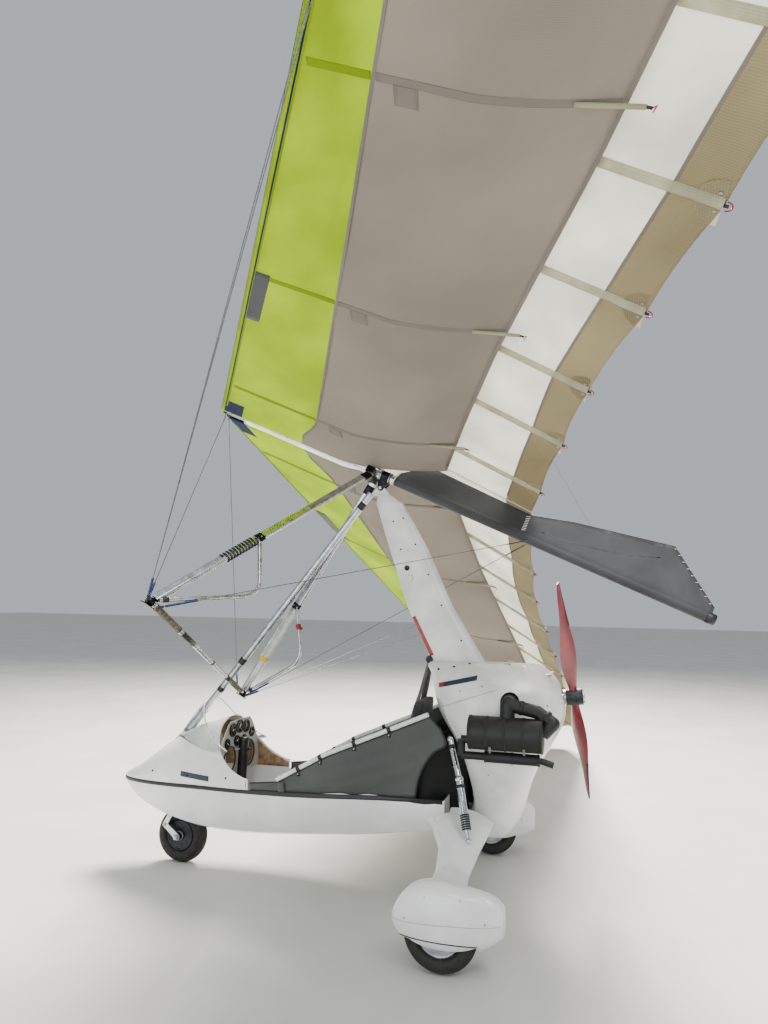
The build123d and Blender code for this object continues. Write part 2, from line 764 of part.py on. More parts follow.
# Main legs, stub axles, suspension struts and spats; the port leg mirrors the other
with BuildPart() as leg_form:
    sections = []
    for out, rear, front, bottom, top in LEG:
        middle = (bottom + top) / 2
        nose = front - (front - rear) * 0.1
        with BuildSketch(Plane(origin=(0, -out, 0), x_dir=(1, 0, 0), z_dir=(0, -1, 0))) as section:
            with BuildLine():
                ThreePointArc((rear, middle), ((rear + front) / 2, top), (nose, middle + 18))
                ThreePointArc((nose, middle + 18), (front, middle), (nose, middle - 18))
                ThreePointArc((nose, middle - 18), ((rear + front) / 2, bottom), (rear, middle))
            make_face()
        sections.append(section.sketch)
    loft_of(sections, ruled=True)
    ahead = POD_LOWER[-2]
    behind = (60.0, 286.9, 597.6, 391.0)
    loft_of([tub_section(*row, inset=-10.5) for row in (ahead, behind)], mode=Mode.SUBTRACT)

for name, side in SIDES:
    with BuildPart() as main_leg:
        add(leg_form.part if side < 0 else mirror(leg_form.part, about=Plane.XZ))
    finish(main_leg, f"main_leg_{name}")

    wheel_y = side * track / 2
    with BuildPart() as spat:
        for inset in (0.0, 5.0):
            sections = []
            for x, bottom, top, half_width in SPAT:
                if inset and x == SPAT[0][0]:
                    x, bottom, top, half_width = 214.0, 190.0, 240.0, 22.0
                if inset and x == SPAT[-1][0]:
                    x = x + inset
                plane = Plane(origin=(x, wheel_y, 0), x_dir=(0, 1, 0), z_dir=(1, 0, 0))
                with BuildSketch(plane) as section:
                    w = half_width - inset
                    z0 = bottom + inset
                    z1 = top - inset
                    h = z1 - z0
                    low = (w * 0.86, z0 + h * 0.2)
                    high = (w * 0.80, z0 + h * 0.8)
                    with BuildLine():
                        ThreePointArc((-low[0], low[1]), (0, z0), low)
                        ThreePointArc(low, (w, z0 + h * 0.5), high)
                        ThreePointArc(high, (0, z1), (-high[0], high[1]))
                        ThreePointArc((-high[0], high[1]), (-w, z0 + h * 0.5), (-low[0], low[1]))
                    make_face()
                sections.append(section.sketch)
            loft_of(sections, mode=Mode.SUBTRACT if inset else Mode.ADD)
        # the tyre comes out through the bottom
        with Locations((0, wheel_y, 0)):
            Box(2 * main_tyre_radius + 16, tyre_width + 24, 2 * 150, mode=Mode.SUBTRACT)
        rod(
            (0, wheel_y, main_tyre_radius),
            (0, wheel_y - side * 200, main_tyre_radius),
            axle_radius + seat_gap,
            mode=Mode.SUBTRACT,
        )
    finish(spat, f"spat_{name}")

    with BuildPart() as stub_axle:
        inner = wheel_y - side * 116
        rod((0, wheel_y + side * 58, main_tyre_radius), (0, inner, main_tyre_radius), axle_radius)
        rod((0, inner, main_tyre_radius - 12), (0, inner, 330), 12)
        add(main_leg.part, mode=Mode.SUBTRACT)
    finish(stub_axle, f"stub_axle_{name}")

    with BuildPart() as suspension_strut:
        eye, middle, foot = (
            Vector(x, side * y, z) for x, y, z in (strut_eye, strut_middle, strut_foot)
        )
        body_end = middle + (foot - middle) * 0.85
        rod(eye, middle, 16)
        rod(middle, body_end, 20)
        rod(middle, foot, 9)
        for centre, radius in ((eye, 18), (middle, 23), (foot, 14)):
            with Locations(centre):
                Sphere(radius)
    finish(suspension_strut, f"suspension_strut_{name}")


def wheel(centre, tyre_radius, rim_radius, names, body_half):
    """A tyre and its rim round an axle."""
    x, y, z = centre
    spin = Axis((x, y, z), (0, 1, 0))
    with BuildPart() as tyre:
        with BuildSketch(Plane.XY.offset(z)):
            with BuildLine():
                w = tyre_width / 2
                r = rim_width / 2 - 8
                Line((x + rim_radius, y - r), (x + rim_radius, y + r))
                ThreePointArc(
                    (x + rim_radius, y + r),
                    (x + (rim_radius + tyre_radius) / 2, y + w),
                    (x + tyre_radius - tyre_crown, y + w - 6),
                )
                ThreePointArc(
                    (x + tyre_radius - tyre_crown, y + w - 6),
                    (x + tyre_radius, y),
                    (x + tyre_radius - tyre_crown, y - w + 6),
                )
                ThreePointArc(
                    (x + tyre_radius - tyre_crown, y - w + 6),
                    (x + (rim_radius + tyre_radius) / 2, y - w),
                    (x + rim_radius, y - r),
                )
            make_face()
        revolve(axis=spin)
    finish(tyre, names[0])
    with BuildPart() as rim:
        with BuildSketch(Plane.XY.offset(z)):
            with BuildLine():
                Polyline(
                    (x + axle_radius + running_gap, y - body_half),
                    (x + 26, y - body_half),
                    (x + 26, y - 6),
                    (x + rim_radius - 14, y - 6),
                    (x + rim_radius - 14, y - rim_width / 2),
                    (x + rim_radius - seat_gap, y - rim_width / 2),
                    (x + rim_radius - seat_gap, y + rim_width / 2),
                    (x + rim_radius - 14, y + rim_width / 2),
                    (x + rim_radius - 14, y + 6),
                    (x + 26, y + 6),
                    (x + 26, y + body_half),
                    (x + axle_radius + running_gap, y + body_half),
                    close=True,
                )
            make_face()
        revolve(axis=spin)
    finish(rim, names[1])


for name, side in SIDES:
    wheel(
        (0, side * track / 2, main_tyre_radius),
        main_tyre_radius,
        main_rim_radius,
        (f"tyre_{name}", f"rim_{name}"),
        50,
    )
wheel(
    (wheelbase, 0, nose_tyre_radius),
    nose_tyre_radius,
    nose_rim_radius,
    ("tyre_nose", "rim_nose"),
    tyre_width / 2 + 2,
)

# Nose fork: stem, crown, two swept legs and the axle
with BuildPart() as nose_fork:
    leg_y = tyre_width / 2 + fork_gap
    rod((steer_point + head_way * 16), (steer_point + head_way * (stem_length + 20)), stem_radius)
    with Locations((steer_pivot_x, 0, crown_bottom)):
        Box(44, 2 * (leg_y + fork_plate), crown_height, align=(Align.CENTER, Align.CENTER, Align.MIN))
    for side in (1.0, -1.0):
        with BuildSketch(Plane.XZ.offset(-side * (leg_y + fork_plate / 2))):
            with Locations((steer_pivot_x, crown_bottom)):
                Circle(15)
            with Locations((1912, 232)):
                Circle(15)
            make_hull()
        extrude(amount=fork_plate / 2, both=True)
        with BuildSketch(Plane.XZ.offset(-side * (leg_y + fork_plate / 2))):
            with Locations((1912, 232)):
                Circle(15)
            with Locations((wheelbase, nose_tyre_radius)):
                Circle(19)
            make_hull()
        extrude(amount=fork_plate / 2, both=True)
    axle_reach = leg_y + fork_plate + axle_overhang
    rod(
        (wheelbase, -axle_reach, nose_tyre_radius),
        (wheelbase, axle_reach, nose_tyre_radius),
        axle_radius,
    )
finish(nose_fork, "nose_fork")

# Hang bracket: a collar that turns on the keel and two cheeks down to the pitch bolt
with BuildPart() as hang_bracket:
    collar_radius = keel_radius + collar_wall
    ring((-pivot_back, 0, 0), (1, 0, 0), collar_radius, keel_radius + running_gap, collar_length)
    cheek_y = head_thickness / 2 + seat_gap + cheek_thickness / 2
    for side in (1.0, -1.0):
        with BuildSketch(Plane.XZ.offset(-side * cheek_y)):
            with Locations((-pivot_back, -pivot_drop)):
                Circle(18)
            with Locations((-pivot_back, -pivot_drop / 2 + 8)):
                Rectangle(collar_length, 14)
            make_hull()
        extrude(amount=cheek_thickness / 2, both=True)
    bore_ends = [(-pivot_back + reach, 0, 0) for reach in (-50, 50)]
    rod(*bore_ends, keel_radius + running_gap, mode=Mode.SUBTRACT)
    bolt_reach = cheek_y + cheek_thickness / 2 + 6
    rod((-pivot_back, -bolt_reach, -pivot_drop), (-pivot_back, bolt_reach, -pivot_drop), bolt_radius)
finish(hang_bracket, "hang_bracket", on_bracket)

# Wing: keel tube with its apex bracket, and the nose plate
with BuildPart() as keel_tube:
    rod((-keel_rear, 0, 0), (keel_front, 0, 0), keel_radius)
    rod((-keel_rear - 5, 0, 0), (keel_front + 5, 0, 0), keel_radius - tube_wall, mode=Mode.SUBTRACT)
finish(keel_tube, "keel_tube", on_wing)

with BuildPart() as apex_bracket:
    with Locations((apex_x + 10, 0, -apex_drop)):
        Box(50, 2 * apex_half_width + 26, apex_drop - 8, align=(Align.CENTER, Align.CENTER, Align.MIN))
    rod((-100, 0, 0), (100, 0, 0), keel_radius + seat_gap, mode=Mode.SUBTRACT)
    with Locations((apex_x + 10, 0, 0)):
        Box(60, 120, 20, mode=Mode.SUBTRACT)
finish(apex_bracket, "apex_bracket", on_wing)

with BuildPart() as nose_plate:
    for low in (keel_radius + seat_gap, -keel_radius - plate_thickness):
        with BuildSketch(Plane.XY.offset(low)):
            with BuildLine():
                Polyline(
                    (1180, -12), (1180, 12), (1138, 78), (1050, 78),
                    (1020, 20), (1020, -20), (1050, -78), (1138, -78), close=True
                )
            make_face()
        extrude(amount=plate_thickness - seat_gap)
    for side in (1.0, -1.0):
        rod(edge_point(48, side), edge_point(600, side), edge_tube_radius + seat_gap, mode=Mode.SUBTRACT)
finish(nose_plate, "nose_plate", on_wing)

for name, side in SIDES:
    edge_in = edge_point(48, side)
    edge_out = edge_point(4700, side)
    with BuildPart() as leading_edge:
        rod(edge_in, edge_out, edge_tube_radius)
        run = (Vector(*edge_out) - Vector(*edge_in)).normalized() * 5
        rod(
            (Vector(*edge_in) - run),
            (Vector(*edge_out) + run),
            edge_tube_radius - tube_wall,
            mode=Mode.SUBTRACT,
        )
        rod((-keel_rear, 0, 0), (keel_front + 100, 0, 0), keel_radius + seat_gap, mode=Mode.SUBTRACT)
    finish(leading_edge, f"leading_edge_{name}", on_wing)

    junction = edge_point(junction_y, side)
    cross_in = (105, side * 48, 102)
    with BuildPart() as cross_tube:
        rod(cross_in, junction, cross_tube_radius)
        run = (Vector(*junction) - Vector(*cross_in)).normalized() * 5
        rod(
            (Vector(*cross_in) - run),
            (Vector(*junction) + run),
            cross_tube_radius - tube_wall,
            mode=Mode.SUBTRACT,
        )
        rod(edge_in, edge_out, edge_tube_radius + seat_gap, mode=Mode.SUBTRACT)
        cross_solid = cross_tube.part.solids().sort_by(SortBy.VOLUME)[-1]
    with BuildPart() as cross_only:
        add(cross_solid)
    finish(cross_only, f"cross_tube_{name}", on_wing)

    # Upright of the control frame, a flattened tube
    top = Vector(apex_x, side * apex_half_width, -apex_drop)
    corner = Vector(bar_x, side * bar_half_width, -bar_drop)
    along = (corner - top).normalized()
    with BuildPart() as upright:
        flat_plane = Plane(origin=top - along * 40, x_dir=Vector(1, 0, 0), z_dir=along)
        with BuildSketch(flat_plane):
            SlotOverall(upright_chord, upright_thickness)
            SlotOverall(
                upright_chord - 2 * tube_wall, upright_thickness - 2 * tube_wall, mode=Mode.SUBTRACT
            )
        extrude(amount=(corner - top).length + 40 - knuckle_radius - seat_gap)
        with Locations((apex_x, side * apex_half_width, -apex_drop - seat_gap)):
            Box(300, 200, 200, align=(Align.CENTER, Align.CENTER, Align.MIN), mode=Mode.SUBTRACT)
    finish(upright, f"upright_{name}", on_wing)

    # Training bar for the rear seat, bent up to the upright
    hold = top + along * ((corner - top).length * training_hold)
    bar_start = corner + Vector(-30, -side * 6, 26)
    bend = Vector(training_bend[0], side * training_bend[1], training_bend[2])
    bend_in = bend + (bar_start - bend).normalized() * training_bend_reach
    bend_out = bend + (hold - bend).normalized() * training_bend_reach
    with BuildPart() as training_bar:
        with BuildLine():
            Line(bar_start, bend_in)
            TangentArc(bend_in, bend_out, tangent=bend - bend_in)
            Line(bend_out, hold)
        with BuildSketch(Plane(origin=bar_start, z_dir=bend_in - bar_start)):
            Circle(training_radius)
            Circle(training_radius - tube_wall, mode=Mode.SUBTRACT)
        sweep()
        with BuildSketch(flat_plane):
            SlotOverall(upright_chord + 2 * seat_gap, upright_thickness + 2 * seat_gap)
        extrude(amount=2000, mode=Mode.SUBTRACT)
        with Locations(corner):
            Sphere(knuckle_radius + seat_gap, mode=Mode.SUBTRACT)
        bar_solid = training_bar.part.solids().sort_by(SortBy.VOLUME)[-1]
    with BuildPart() as training_only:
        add(bar_solid)
    finish(training_only, f"training_bar_{name}", on_wing)

    with BuildPart() as sail_upper:
        loft_of([upper_skin(row, side) for row in RIBS if row[0] != 32.0], ruled=True)
        rod((0, 0, 0), (0, 0, 600), king_post_radius + 4, mode=Mode.SUBTRACT)
    finish(sail_upper, f"sail_upper_{name}", on_wing)

    with BuildPart() as sail_lower:
        loft_of([lower_skin(row, side) for row in RIBS[1:-1]], ruled=True)
    finish(sail_lower, f"sail_lower_{name}", on_wing)

with BuildPart() as base_bar:
    port_corner = (bar_x, bar_half_width, -bar_drop)
    starboard_corner = (bar_x, -bar_half_width, -bar_drop)
    rod(port_corner, starboard_corner, bar_radius)
    rod(port_corner, starboard_corner, bar_radius - tube_wall, mode=Mode.SUBTRACT)
    with Locations(port_corner, starboard_corner):
        Sphere(knuckle_radius + seat_gap, mode=Mode.SUBTRACT)
finish(base_bar, "base_bar", on_wing)

with BuildPart() as corner_knuckles:
    with Locations((bar_x, bar_half_width, -bar_drop), (bar_x, -bar_half_width, -bar_drop)):
        Sphere(knuckle_radius)
    with Locations(
        (bar_x, bar_half_width, -bar_drop + tang_top), (bar_x, -bar_half_width, -bar_drop + tang_top)
    ):
        Cylinder(tang_radius, 5, align=(Align.CENTER, Align.CENTER, Align.MAX))
finish(corner_knuckles, "corner_knuckles", on_wing)

with BuildPart() as king_post:
    low = (0, 0, keel_radius + seat_gap)
    high = (0, 0, king_post_height)
    rod(low, high, king_post_radius)
    rod(low, high, king_post_radius - tube_wall, mode=Mode.SUBTRACT)
finish(king_post, "king_post", on_wing)

with BuildPart() as keel_pocket:
    with BuildSketch(Plane.XZ):
        with BuildLine():
            Polyline(*FIN, close=True)
        make_face()
    extrude(amount=4, both=True)
finish(keel_pocket, "keel_pocket", on_wing)

# Main stays below and above the wing
with BuildPart() as lower_stays:
    for side in (1.0, -1.0):
        corner = Vector(bar_x, side * bar_half_width, -bar_drop)
        outer_y = junction_y + 150
        ends = [
            (1150, side * 14, -keel_radius - plate_thickness),
            (-tang_x, side * 20.8, -keel_radius + 8.5),
            (edge_x(junction_y) - 60, side * junction_y, edge_z(junction_y) - sail_edge_radius),
            (edge_x(outer_y) - 60, side * outer_y, edge_z(outer_y) - sail_edge_radius),
        ]
        for x, y, z in ends:
            heading = Vector(x, y, z) - corner
            flat = Vector(heading.X, heading.Y, 0)
            rise = Vector(0, 0, wire_radius * flat.length / heading.length + seat_gap)
            start = corner + flat.normalized() * (tang_radius - 7) + Vector(0, 0, tang_top) + rise
            rod(start, Vector(x, y, z) - rise, wire_radius)
finish(lower_stays, "lower_stays", on_wing)

with BuildPart() as upper_stays:
    mast = Vector(0, 0, king_post_height - 12)
    skin_z = edge_z(junction_y) + sail_edge_radius
    ends = [
        (1150, 0, keel_radius + plate_thickness + 2.3),
        (-1290, 0, 237.6),
        (edge_x(junction_y) - 50, junction_y, skin_z + 8),
        (edge_x(junction_y) - 50, -junction_y, skin_z + 8),
    ]
    for end in ends:
        way = (Vector(*end) - mast).normalized()
        level = Vector(way.X, way.Y, 0).length
        clear = king_post_radius + seat_gap + wire_radius * abs(way.Z)
        rod(mast + way * (clear / level), end, wire_radius)
finish(upper_stays, "upper_stays", on_wing)
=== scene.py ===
import math

import bmesh
import bpy
from mathutils import Matrix, Vector
from mathutils.bvhtree import BVHTree


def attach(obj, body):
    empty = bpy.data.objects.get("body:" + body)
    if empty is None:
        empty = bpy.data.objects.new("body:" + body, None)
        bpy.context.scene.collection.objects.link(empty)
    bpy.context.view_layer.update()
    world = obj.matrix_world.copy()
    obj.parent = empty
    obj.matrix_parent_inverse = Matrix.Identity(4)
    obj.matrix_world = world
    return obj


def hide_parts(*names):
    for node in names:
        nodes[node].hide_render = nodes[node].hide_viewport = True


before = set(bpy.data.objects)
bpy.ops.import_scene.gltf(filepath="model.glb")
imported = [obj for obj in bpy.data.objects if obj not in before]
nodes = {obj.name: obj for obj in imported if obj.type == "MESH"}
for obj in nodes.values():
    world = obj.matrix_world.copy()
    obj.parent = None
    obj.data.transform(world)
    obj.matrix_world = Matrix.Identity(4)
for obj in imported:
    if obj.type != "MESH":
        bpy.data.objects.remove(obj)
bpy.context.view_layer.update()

# The trike is laid out from its main axle line on the ground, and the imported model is
# centred on the whole machine; the wing is laid out from the point where it hangs.
SHIFT = Vector((-0.162446, 0.129586, 0.0))
HANG = Vector((0.584, 0.0, 2.425)) + SHIFT
NOSE_UP = math.radians(24.5)
BANK = math.radians(24.0)
KEEL = Vector((math.cos(NOSE_UP), 0.0, math.sin(NOSE_UP)))
KEEL_UP = Vector((-math.sin(NOSE_UP), 0.0, math.cos(NOSE_UP)))
SPAN = Vector((0, 1, 0)) * math.cos(BANK) + KEEL_UP * math.sin(BANK)
LIFT = KEEL_UP * math.cos(BANK) - Vector((0, 1, 0)) * math.sin(BANK)
SIDES = (("left", 1.0), ("right", -1.0))
BOTH = (1.0, -1.0)


def on_trike(x, y, z):
    """A point given from the main axle line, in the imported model's frame."""
    return Vector((x, y, z)) + SHIFT


def on_wing(x, y, z):
    """A point given along the keel, out to port and above it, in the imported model's frame."""
    return HANG + KEEL * x + SPAN * y + LIFT * z


def linked(name, data):
    """A new object in the scene."""
    piece = bpy.data.objects.new(name, data)
    bpy.context.scene.collection.objects.link(piece)
    return piece


# Camera and light
camera = linked("camera", bpy.data.cameras.new("camera"))
camera.data.sensor_fit = "VERTICAL"
camera.data.sensor_height = 36.0
camera.data.lens = 24.62
camera.data.clip_end = 200.0
forward = Vector((0.2868, -0.9490, 0.1307)).normalized()
right = Vector((-0.9577, -0.2870, 0.0181)).normalized()
up = right.cross(forward).normalized()
right = forward.cross(up).normalized()
turn = Matrix((right, up, -forward)).transposed().to_4x4()
camera.matrix_world = Matrix.Translation(on_trike(-0.697, 4.092, 1.62)) @ turn
bpy.context.scene.camera = camera

world = bpy.data.worlds.new("studio")
bpy.context.scene.world = world
world.use_nodes = True
world.node_tree.nodes["Background"].inputs["Color"].default_value = (0.80, 0.85, 0.92, 1)
world.node_tree.nodes["Background"].inputs["Strength"].default_value = 0.62


def softbox(name, place, aim, size, power, colour):
    """A square lamp at a place, turned towards its aim."""
    light = bpy.data.lights.new(name, "AREA")
    light.energy = power
    light.size = size
    light.color = colour
    lamp = linked(name, light)
    lamp.location = place
    lamp.rotation_euler = (Vector(aim) - Vector(place)).to_track_quat("-Z", "Y").to_euler()


softbox("sky_key", (-2.5, 5.0, 9.0), (0, 0, 1.5), 5.0, 1100, (1.0, 0.98, 0.95))
softbox("sun_over_wing", (1.5, -5.5, 9.0), (0, 0, 2.4), 4.0, 4600, (1.0, 0.97, 0.90))
softbox("fill_low", (2.0, 8.0, 2.5), (0, 0, 1.0), 5.0, 260, (0.92, 0.96, 1.0))


# Materials
def hexa(code):
    """An sRGB hex colour as linear numbers."""
    out = []
    for i in (0, 2, 4):
        c = int(code[i : i + 2], 16) / 255
        out.append(c / 12.92 if c <= 0.04045 else ((c + 0.055) / 1.055) ** 2.4)
    return (*out, 1.0)


def put(tree, kind, settings=None, links=None):
    """Adds one node with its settings and links."""
    node = tree.nodes.new(kind)
    for key, value in (settings or {}).items():
        if isinstance(key, int) or key in node.inputs:
            node.inputs[key].default_value = value
        else:
            setattr(node, key, value)
    for key, source in (links or {}).items():
        tree.links.new(source, node.inputs[key])
    return node


def new_material(name):
    """A material with its node tree and its shader."""
    mat = bpy.data.materials.new(name)
    mat.use_nodes = True
    return mat, mat.node_tree, mat.node_tree.nodes["Principled BSDF"]


def finish_of(
    name, low, high, rough, scale_mm, coat=0.0, ior=1.5, metallic=0.0, grain_mm=None, bump=0.15
):
    """A surface that drifts between two colours, with its own roughness, bump and gloss."""
    mat, tree, shader = new_material(name)
    where = put(tree, "ShaderNodeTexCoord").outputs["Object"]
    drift = put(
        tree,
        "ShaderNodeTexNoise",
        {"Scale": 1000.0 / scale_mm, "Detail": 4.0, "Roughness": 0.55},
        {"Vector": where},
    )
    tone = put(tree, "ShaderNodeValToRGB", {}, {"Fac": drift.outputs["Fac"]})
    tone.color_ramp.elements[0].color = hexa(low)
    tone.color_ramp.elements[0].position = 0.35
    tone.color_ramp.elements[1].color = hexa(high)
    tone.color_ramp.elements[1].position = 0.65
    tree.links.new(tone.outputs["Color"], shader.inputs["Base Color"])
    spread = put(
        tree,
        "ShaderNodeMapRange",
        {"To Min": rough[0], "To Max": rough[1]},
        {"Value": drift.outputs["Fac"]},
    )
    tree.links.new(spread.outputs["Result"], shader.inputs["Roughness"])
    shader.inputs["Metallic"].default_value = metallic
    if not metallic:
        shader.inputs["IOR"].default_value = ior
    shader.inputs["Coat Weight"].default_value = coat
    shader.inputs["Coat Roughness"].default_value = 0.08
    if grain_mm:
        fine = put(
            tree,
            "ShaderNodeTexNoise",
            {"Scale": 1000.0 / grain_mm, "Detail": 2.0},
            {"Vector": where},
        )
        dent = put(
            tree,
            "ShaderNodeBump",
            {"Strength": bump, "Distance": grain_mm / 4000.0},
            {"Height": fine.outputs["Fac"]},
        )
        tree.links.new(dent.outputs["Normal"], shader.inputs["Normal"])
    return mat


def woven(name, low, high, thread_mm, rough, glow=0.0, stain=450.0, bump=0.25):
    """Cloth woven in two directions along the piece's own UV map, which is in metres."""
    mat, tree, shader = new_material(name)
    uv = put(tree, "ShaderNodeTexCoord").outputs["UV"]
    threads = {"Scale": 1000.0 / thread_mm / 6.2832, "Distortion": 0.4}
    waves = [
        put(tree, "ShaderNodeTexWave", {"bands_direction": axis, **threads}, {"Vector": uv})
        for axis in ("X", "Y")
    ]
    weave = put(
        tree,
        "ShaderNodeMath",
        {"operation": "MULTIPLY"},
        {0: waves[0].outputs["Fac"], 1: waves[1].outputs["Fac"]},
    )
    drift = put(
        tree, "ShaderNodeTexNoise", {"Scale": 1000.0 / stain, "Detail": 5.0}, {"Vector": uv}
    )
    mixed = put(
        tree,
        "ShaderNodeMath",
        {"operation": "MULTIPLY_ADD", 1: 0.22},
        {0: weave.outputs[0], 2: drift.outputs["Fac"]},
    )
    tone = put(tree, "ShaderNodeValToRGB", {}, {"Fac": mixed.outputs[0]})
    tone.color_ramp.elements[0].color = hexa(low)
    tone.color_ramp.elements[0].position = 0.38
    tone.color_ramp.elements[1].color = hexa(high)
    tone.color_ramp.elements[1].position = 0.72
    tree.links.new(tone.outputs["Color"], shader.inputs["Base Color"])
    dent = put(
        tree,
        "ShaderNodeBump",
        {"Strength": bump, "Distance": 0.0006},
        {"Height": weave.outputs[0]},
    )
    tree.links.new(dent.outputs["Normal"], shader.inputs["Normal"])
    shader.inputs["Roughness"].default_value = rough
    shader.inputs["Sheen Weight"].default_value = 0.0 if glow else 0.15
    shader.inputs["Specular IOR Level"].default_value = 0.15 if glow else 0.5
    if glow:
        # thin polyester lets daylight through, so the far side's light shows on this one
        through = put(tree, "ShaderNodeBsdfTranslucent", {}, {"Color": tone.outputs["Color"]})
        both = put(
            tree,
            "ShaderNodeMixShader",
            {"Fac": glow},
            {1: shader.outputs[0], 2: through.outputs[0]},
        )
        tree.links.new(both.outputs[0], tree.nodes["Material Output"].inputs["Surface"])
    return mat


# White gelcoat on moulded glass fibre: glossy, slightly warm, with a film of dust
gelcoat = finish_of("white_gelcoat", "DDDEDC", "F0F0EE", (0.16, 0.30), 260, coat=0.35, ior=1.52)
# The same gelcoat on the pylon and cowling, a little more dusty
gelcoat_dusty = finish_of(
    "dusty_gelcoat", "D2D3D0", "ECECE9", (0.22, 0.38), 180, coat=0.25, ior=1.52
)
# Black edge tape with a low sheen
black_tape = finish_of("black_vinyl_tape", "0B0B0C", "1B1B1D", (0.40, 0.55), 30, ior=1.52)
# Grey textured moulding of the instrument panel
panel_grey = finish_of(
    "grey_moulded_abs", "A3A39D", "BDBCB5", (0.45, 0.60), 60, grain_mm=1.2, bump=0.25, ior=1.54
)
# Tan glass cloth laminate, bare inside the nose
laminate = finish_of(
    "bare_tan_laminate", "7A5F44", "B08E6B", (0.5, 0.7), 40, grain_mm=3.0, bump=0.4, ior=1.5
)
# Black powder coat on steel
powder_black = finish_of(
    "black_powder_coat", "101012", "1E1E21", (0.35, 0.5), 25, grain_mm=0.8, bump=0.2, ior=1.5
)
# White paint on tube
white_paint = finish_of("white_enamel", "D5D5D2", "F2F2F0", (0.2, 0.35), 70, coat=0.2)
# Anodised aluminium tube: satin and bright, its tone drifting a little
anodised = finish_of(
    "clear_anodised_aluminium", "A9ACB0", "D3D6D9", (0.22, 0.36), 35, metallic=1.0
)
# Black anodised fittings
black_anodised = finish_of(
    "black_anodised_aluminium", "141417", "2A2A30", (0.28, 0.42), 20, metallic=0.9
)
# Stainless steel of shafts, axles, bolts and rivets
stainless = finish_of("stainless_steel", "8F9296", "C2C4C7", (0.22, 0.38), 8, metallic=1.0)
# Chromed damper rod
chrome = finish_of("hard_chrome", "C5C8CC", "E6E8EA", (0.05, 0.12), 40, metallic=1.0)
# Cast aluminium engine
cast = finish_of(
    "cast_aluminium", "4A4B4E", "77797C", (0.45, 0.65), 25, metallic=0.9, grain_mm=1.5, bump=0.4
)
# High temperature black paint on the exhaust, greyed by heat
stove_black = finish_of(
    "stove_black_paint", "050506", "111111", (0.45, 0.7), 45, grain_mm=1.0, bump=0.25, ior=1.5
)
# Tyre rubber, dull black with brown dust
rubber = finish_of("tyre_rubber", "131312", "2C2A27", (0.65, 0.85), 30, grain_mm=0.8, bump=0.3)
# Dark painted wheel rim
rim_paint = finish_of("dark_rim_paint", "24262A", "3A3D42", (0.3, 0.45), 20, metallic=0.7)
# Dark crimson lacquer over laminated wood
lacquer = finish_of("crimson_lacquer", "6C0A18", "8C1224", (0.25, 0.4), 90, coat=0.2, ior=1.5)
# Polyurethane guard on the blade's leading edge
blade_guard = finish_of("dark_blade_guard", "2C0A10", "44101A", (0.25, 0.4), 30, ior=1.5)
# Silver paint of the main wheels
rim_silver = finish_of("silver_rim_paint", "8C8F93", "B2B5B9", (0.28, 0.42), 30, metallic=0.8)
# Steel wire rope of the rigging, greyed by weather
wire_steel = finish_of("wire_rope_steel", "56595C", "7E8184", (0.35, 0.5), 5, metallic=1.0)
# Black sheet behind the rear seat, painted shade standing for the dark inside of the pod
shade_black = finish_of("black_painted_shade_sheet", "050506", "0D0D0E", (0.7, 0.85), 60, ior=1.5)
# Dark slate film of the blank name plates
slate_film = finish_of("slate_vinyl_film", "182436", "243349", (0.35, 0.5), 60, ior=1.5)
# Signal red paint of tabs, loops and the pylon's strip
signal_red = finish_of("signal_red_paint", "7E1114", "A01C1C", (0.3, 0.45), 40, coat=0.2)
# Yellow nylon ring
yellow_nylon = finish_of("yellow_nylon", "C99512", "EEC12F", (0.35, 0.5), 15, ior=1.53)
# Blue heat-shrink sleeve on the wires' ends
blue_sleeve = finish_of("blue_heat_shrink", "0A1A48", "15306E", (0.3, 0.45), 20, ior=1.5)
# Worn tan grips on the base bar
grip_tan = finish_of("worn_tan_grip", "4A4236", "7C7161", (0.6, 0.8), 22, grain_mm=1.5, bump=0.5)
# Dark instrument glass and bezels
gauge_face = finish_of("gauge_face_black", "0B0C0D", "1D2123", (0.12, 0.25), 20, coat=0.6)

# Sail cloths of woven polyester: the threads are drawn coarse enough to show
lime_cloth = woven("lime_sailcloth", "B2CC00", "D6EC00", 3.0, 0.55, glow=0.6)
under_cloth = woven("grey_laminate_sailcloth", "9C948A", "B4ACA2", 3.0, 0.6, glow=0.5, stain=900)
white_cloth = woven("white_sailcloth", "CFCEC6", "EAE8E0", 3.0, 0.55, glow=0.65, stain=350)
navy_cloth = woven("navy_sailcloth", "0A1A38", "132B55", 3.0, 0.5, glow=0.15)
tan_cloth = woven(
    "tan_trailing_edge_cloth", "8A8062", "B0A484", 4.0, 0.65, glow=0.4, stain=900, bump=0.6
)
# Darker cloths for the seams and hem; the same cloths paint the shadow of battens and patches seen
# through the lower skin
seam_and_shadow_cloth = woven("shaded_seam_cloth", "827B72", "999188", 3.0, 0.6, glow=0.35, stain=900)
lime_seam_and_shadow_cloth = woven("shaded_lime_seam_cloth", "839E00", "A0BA00", 3.0, 0.6, glow=0.4, stain=900)
pocket_cloth = woven("dark_grey_keel_cloth", "232427", "383A3E", 3.0, 0.65, stain=300)
pocket_trim = woven("cream_pocket_cloth", "A3A084", "CBC7AC", 3.0, 0.6, glow=0.3, stain=120)
side_cloth = woven("grey_coated_canvas", "363A38", "4A4E4B", 3.5, 0.6, stain=500, bump=0.5)
seat_cloth = woven("charcoal_seat_cloth", "202226", "36393F", 4.0, 0.8, stain=120, bump=0.6)
strap_web = woven("grey_webbing", "3C3A38", "5A5855", 3.0, 0.7, stain=60, bump=0.7)

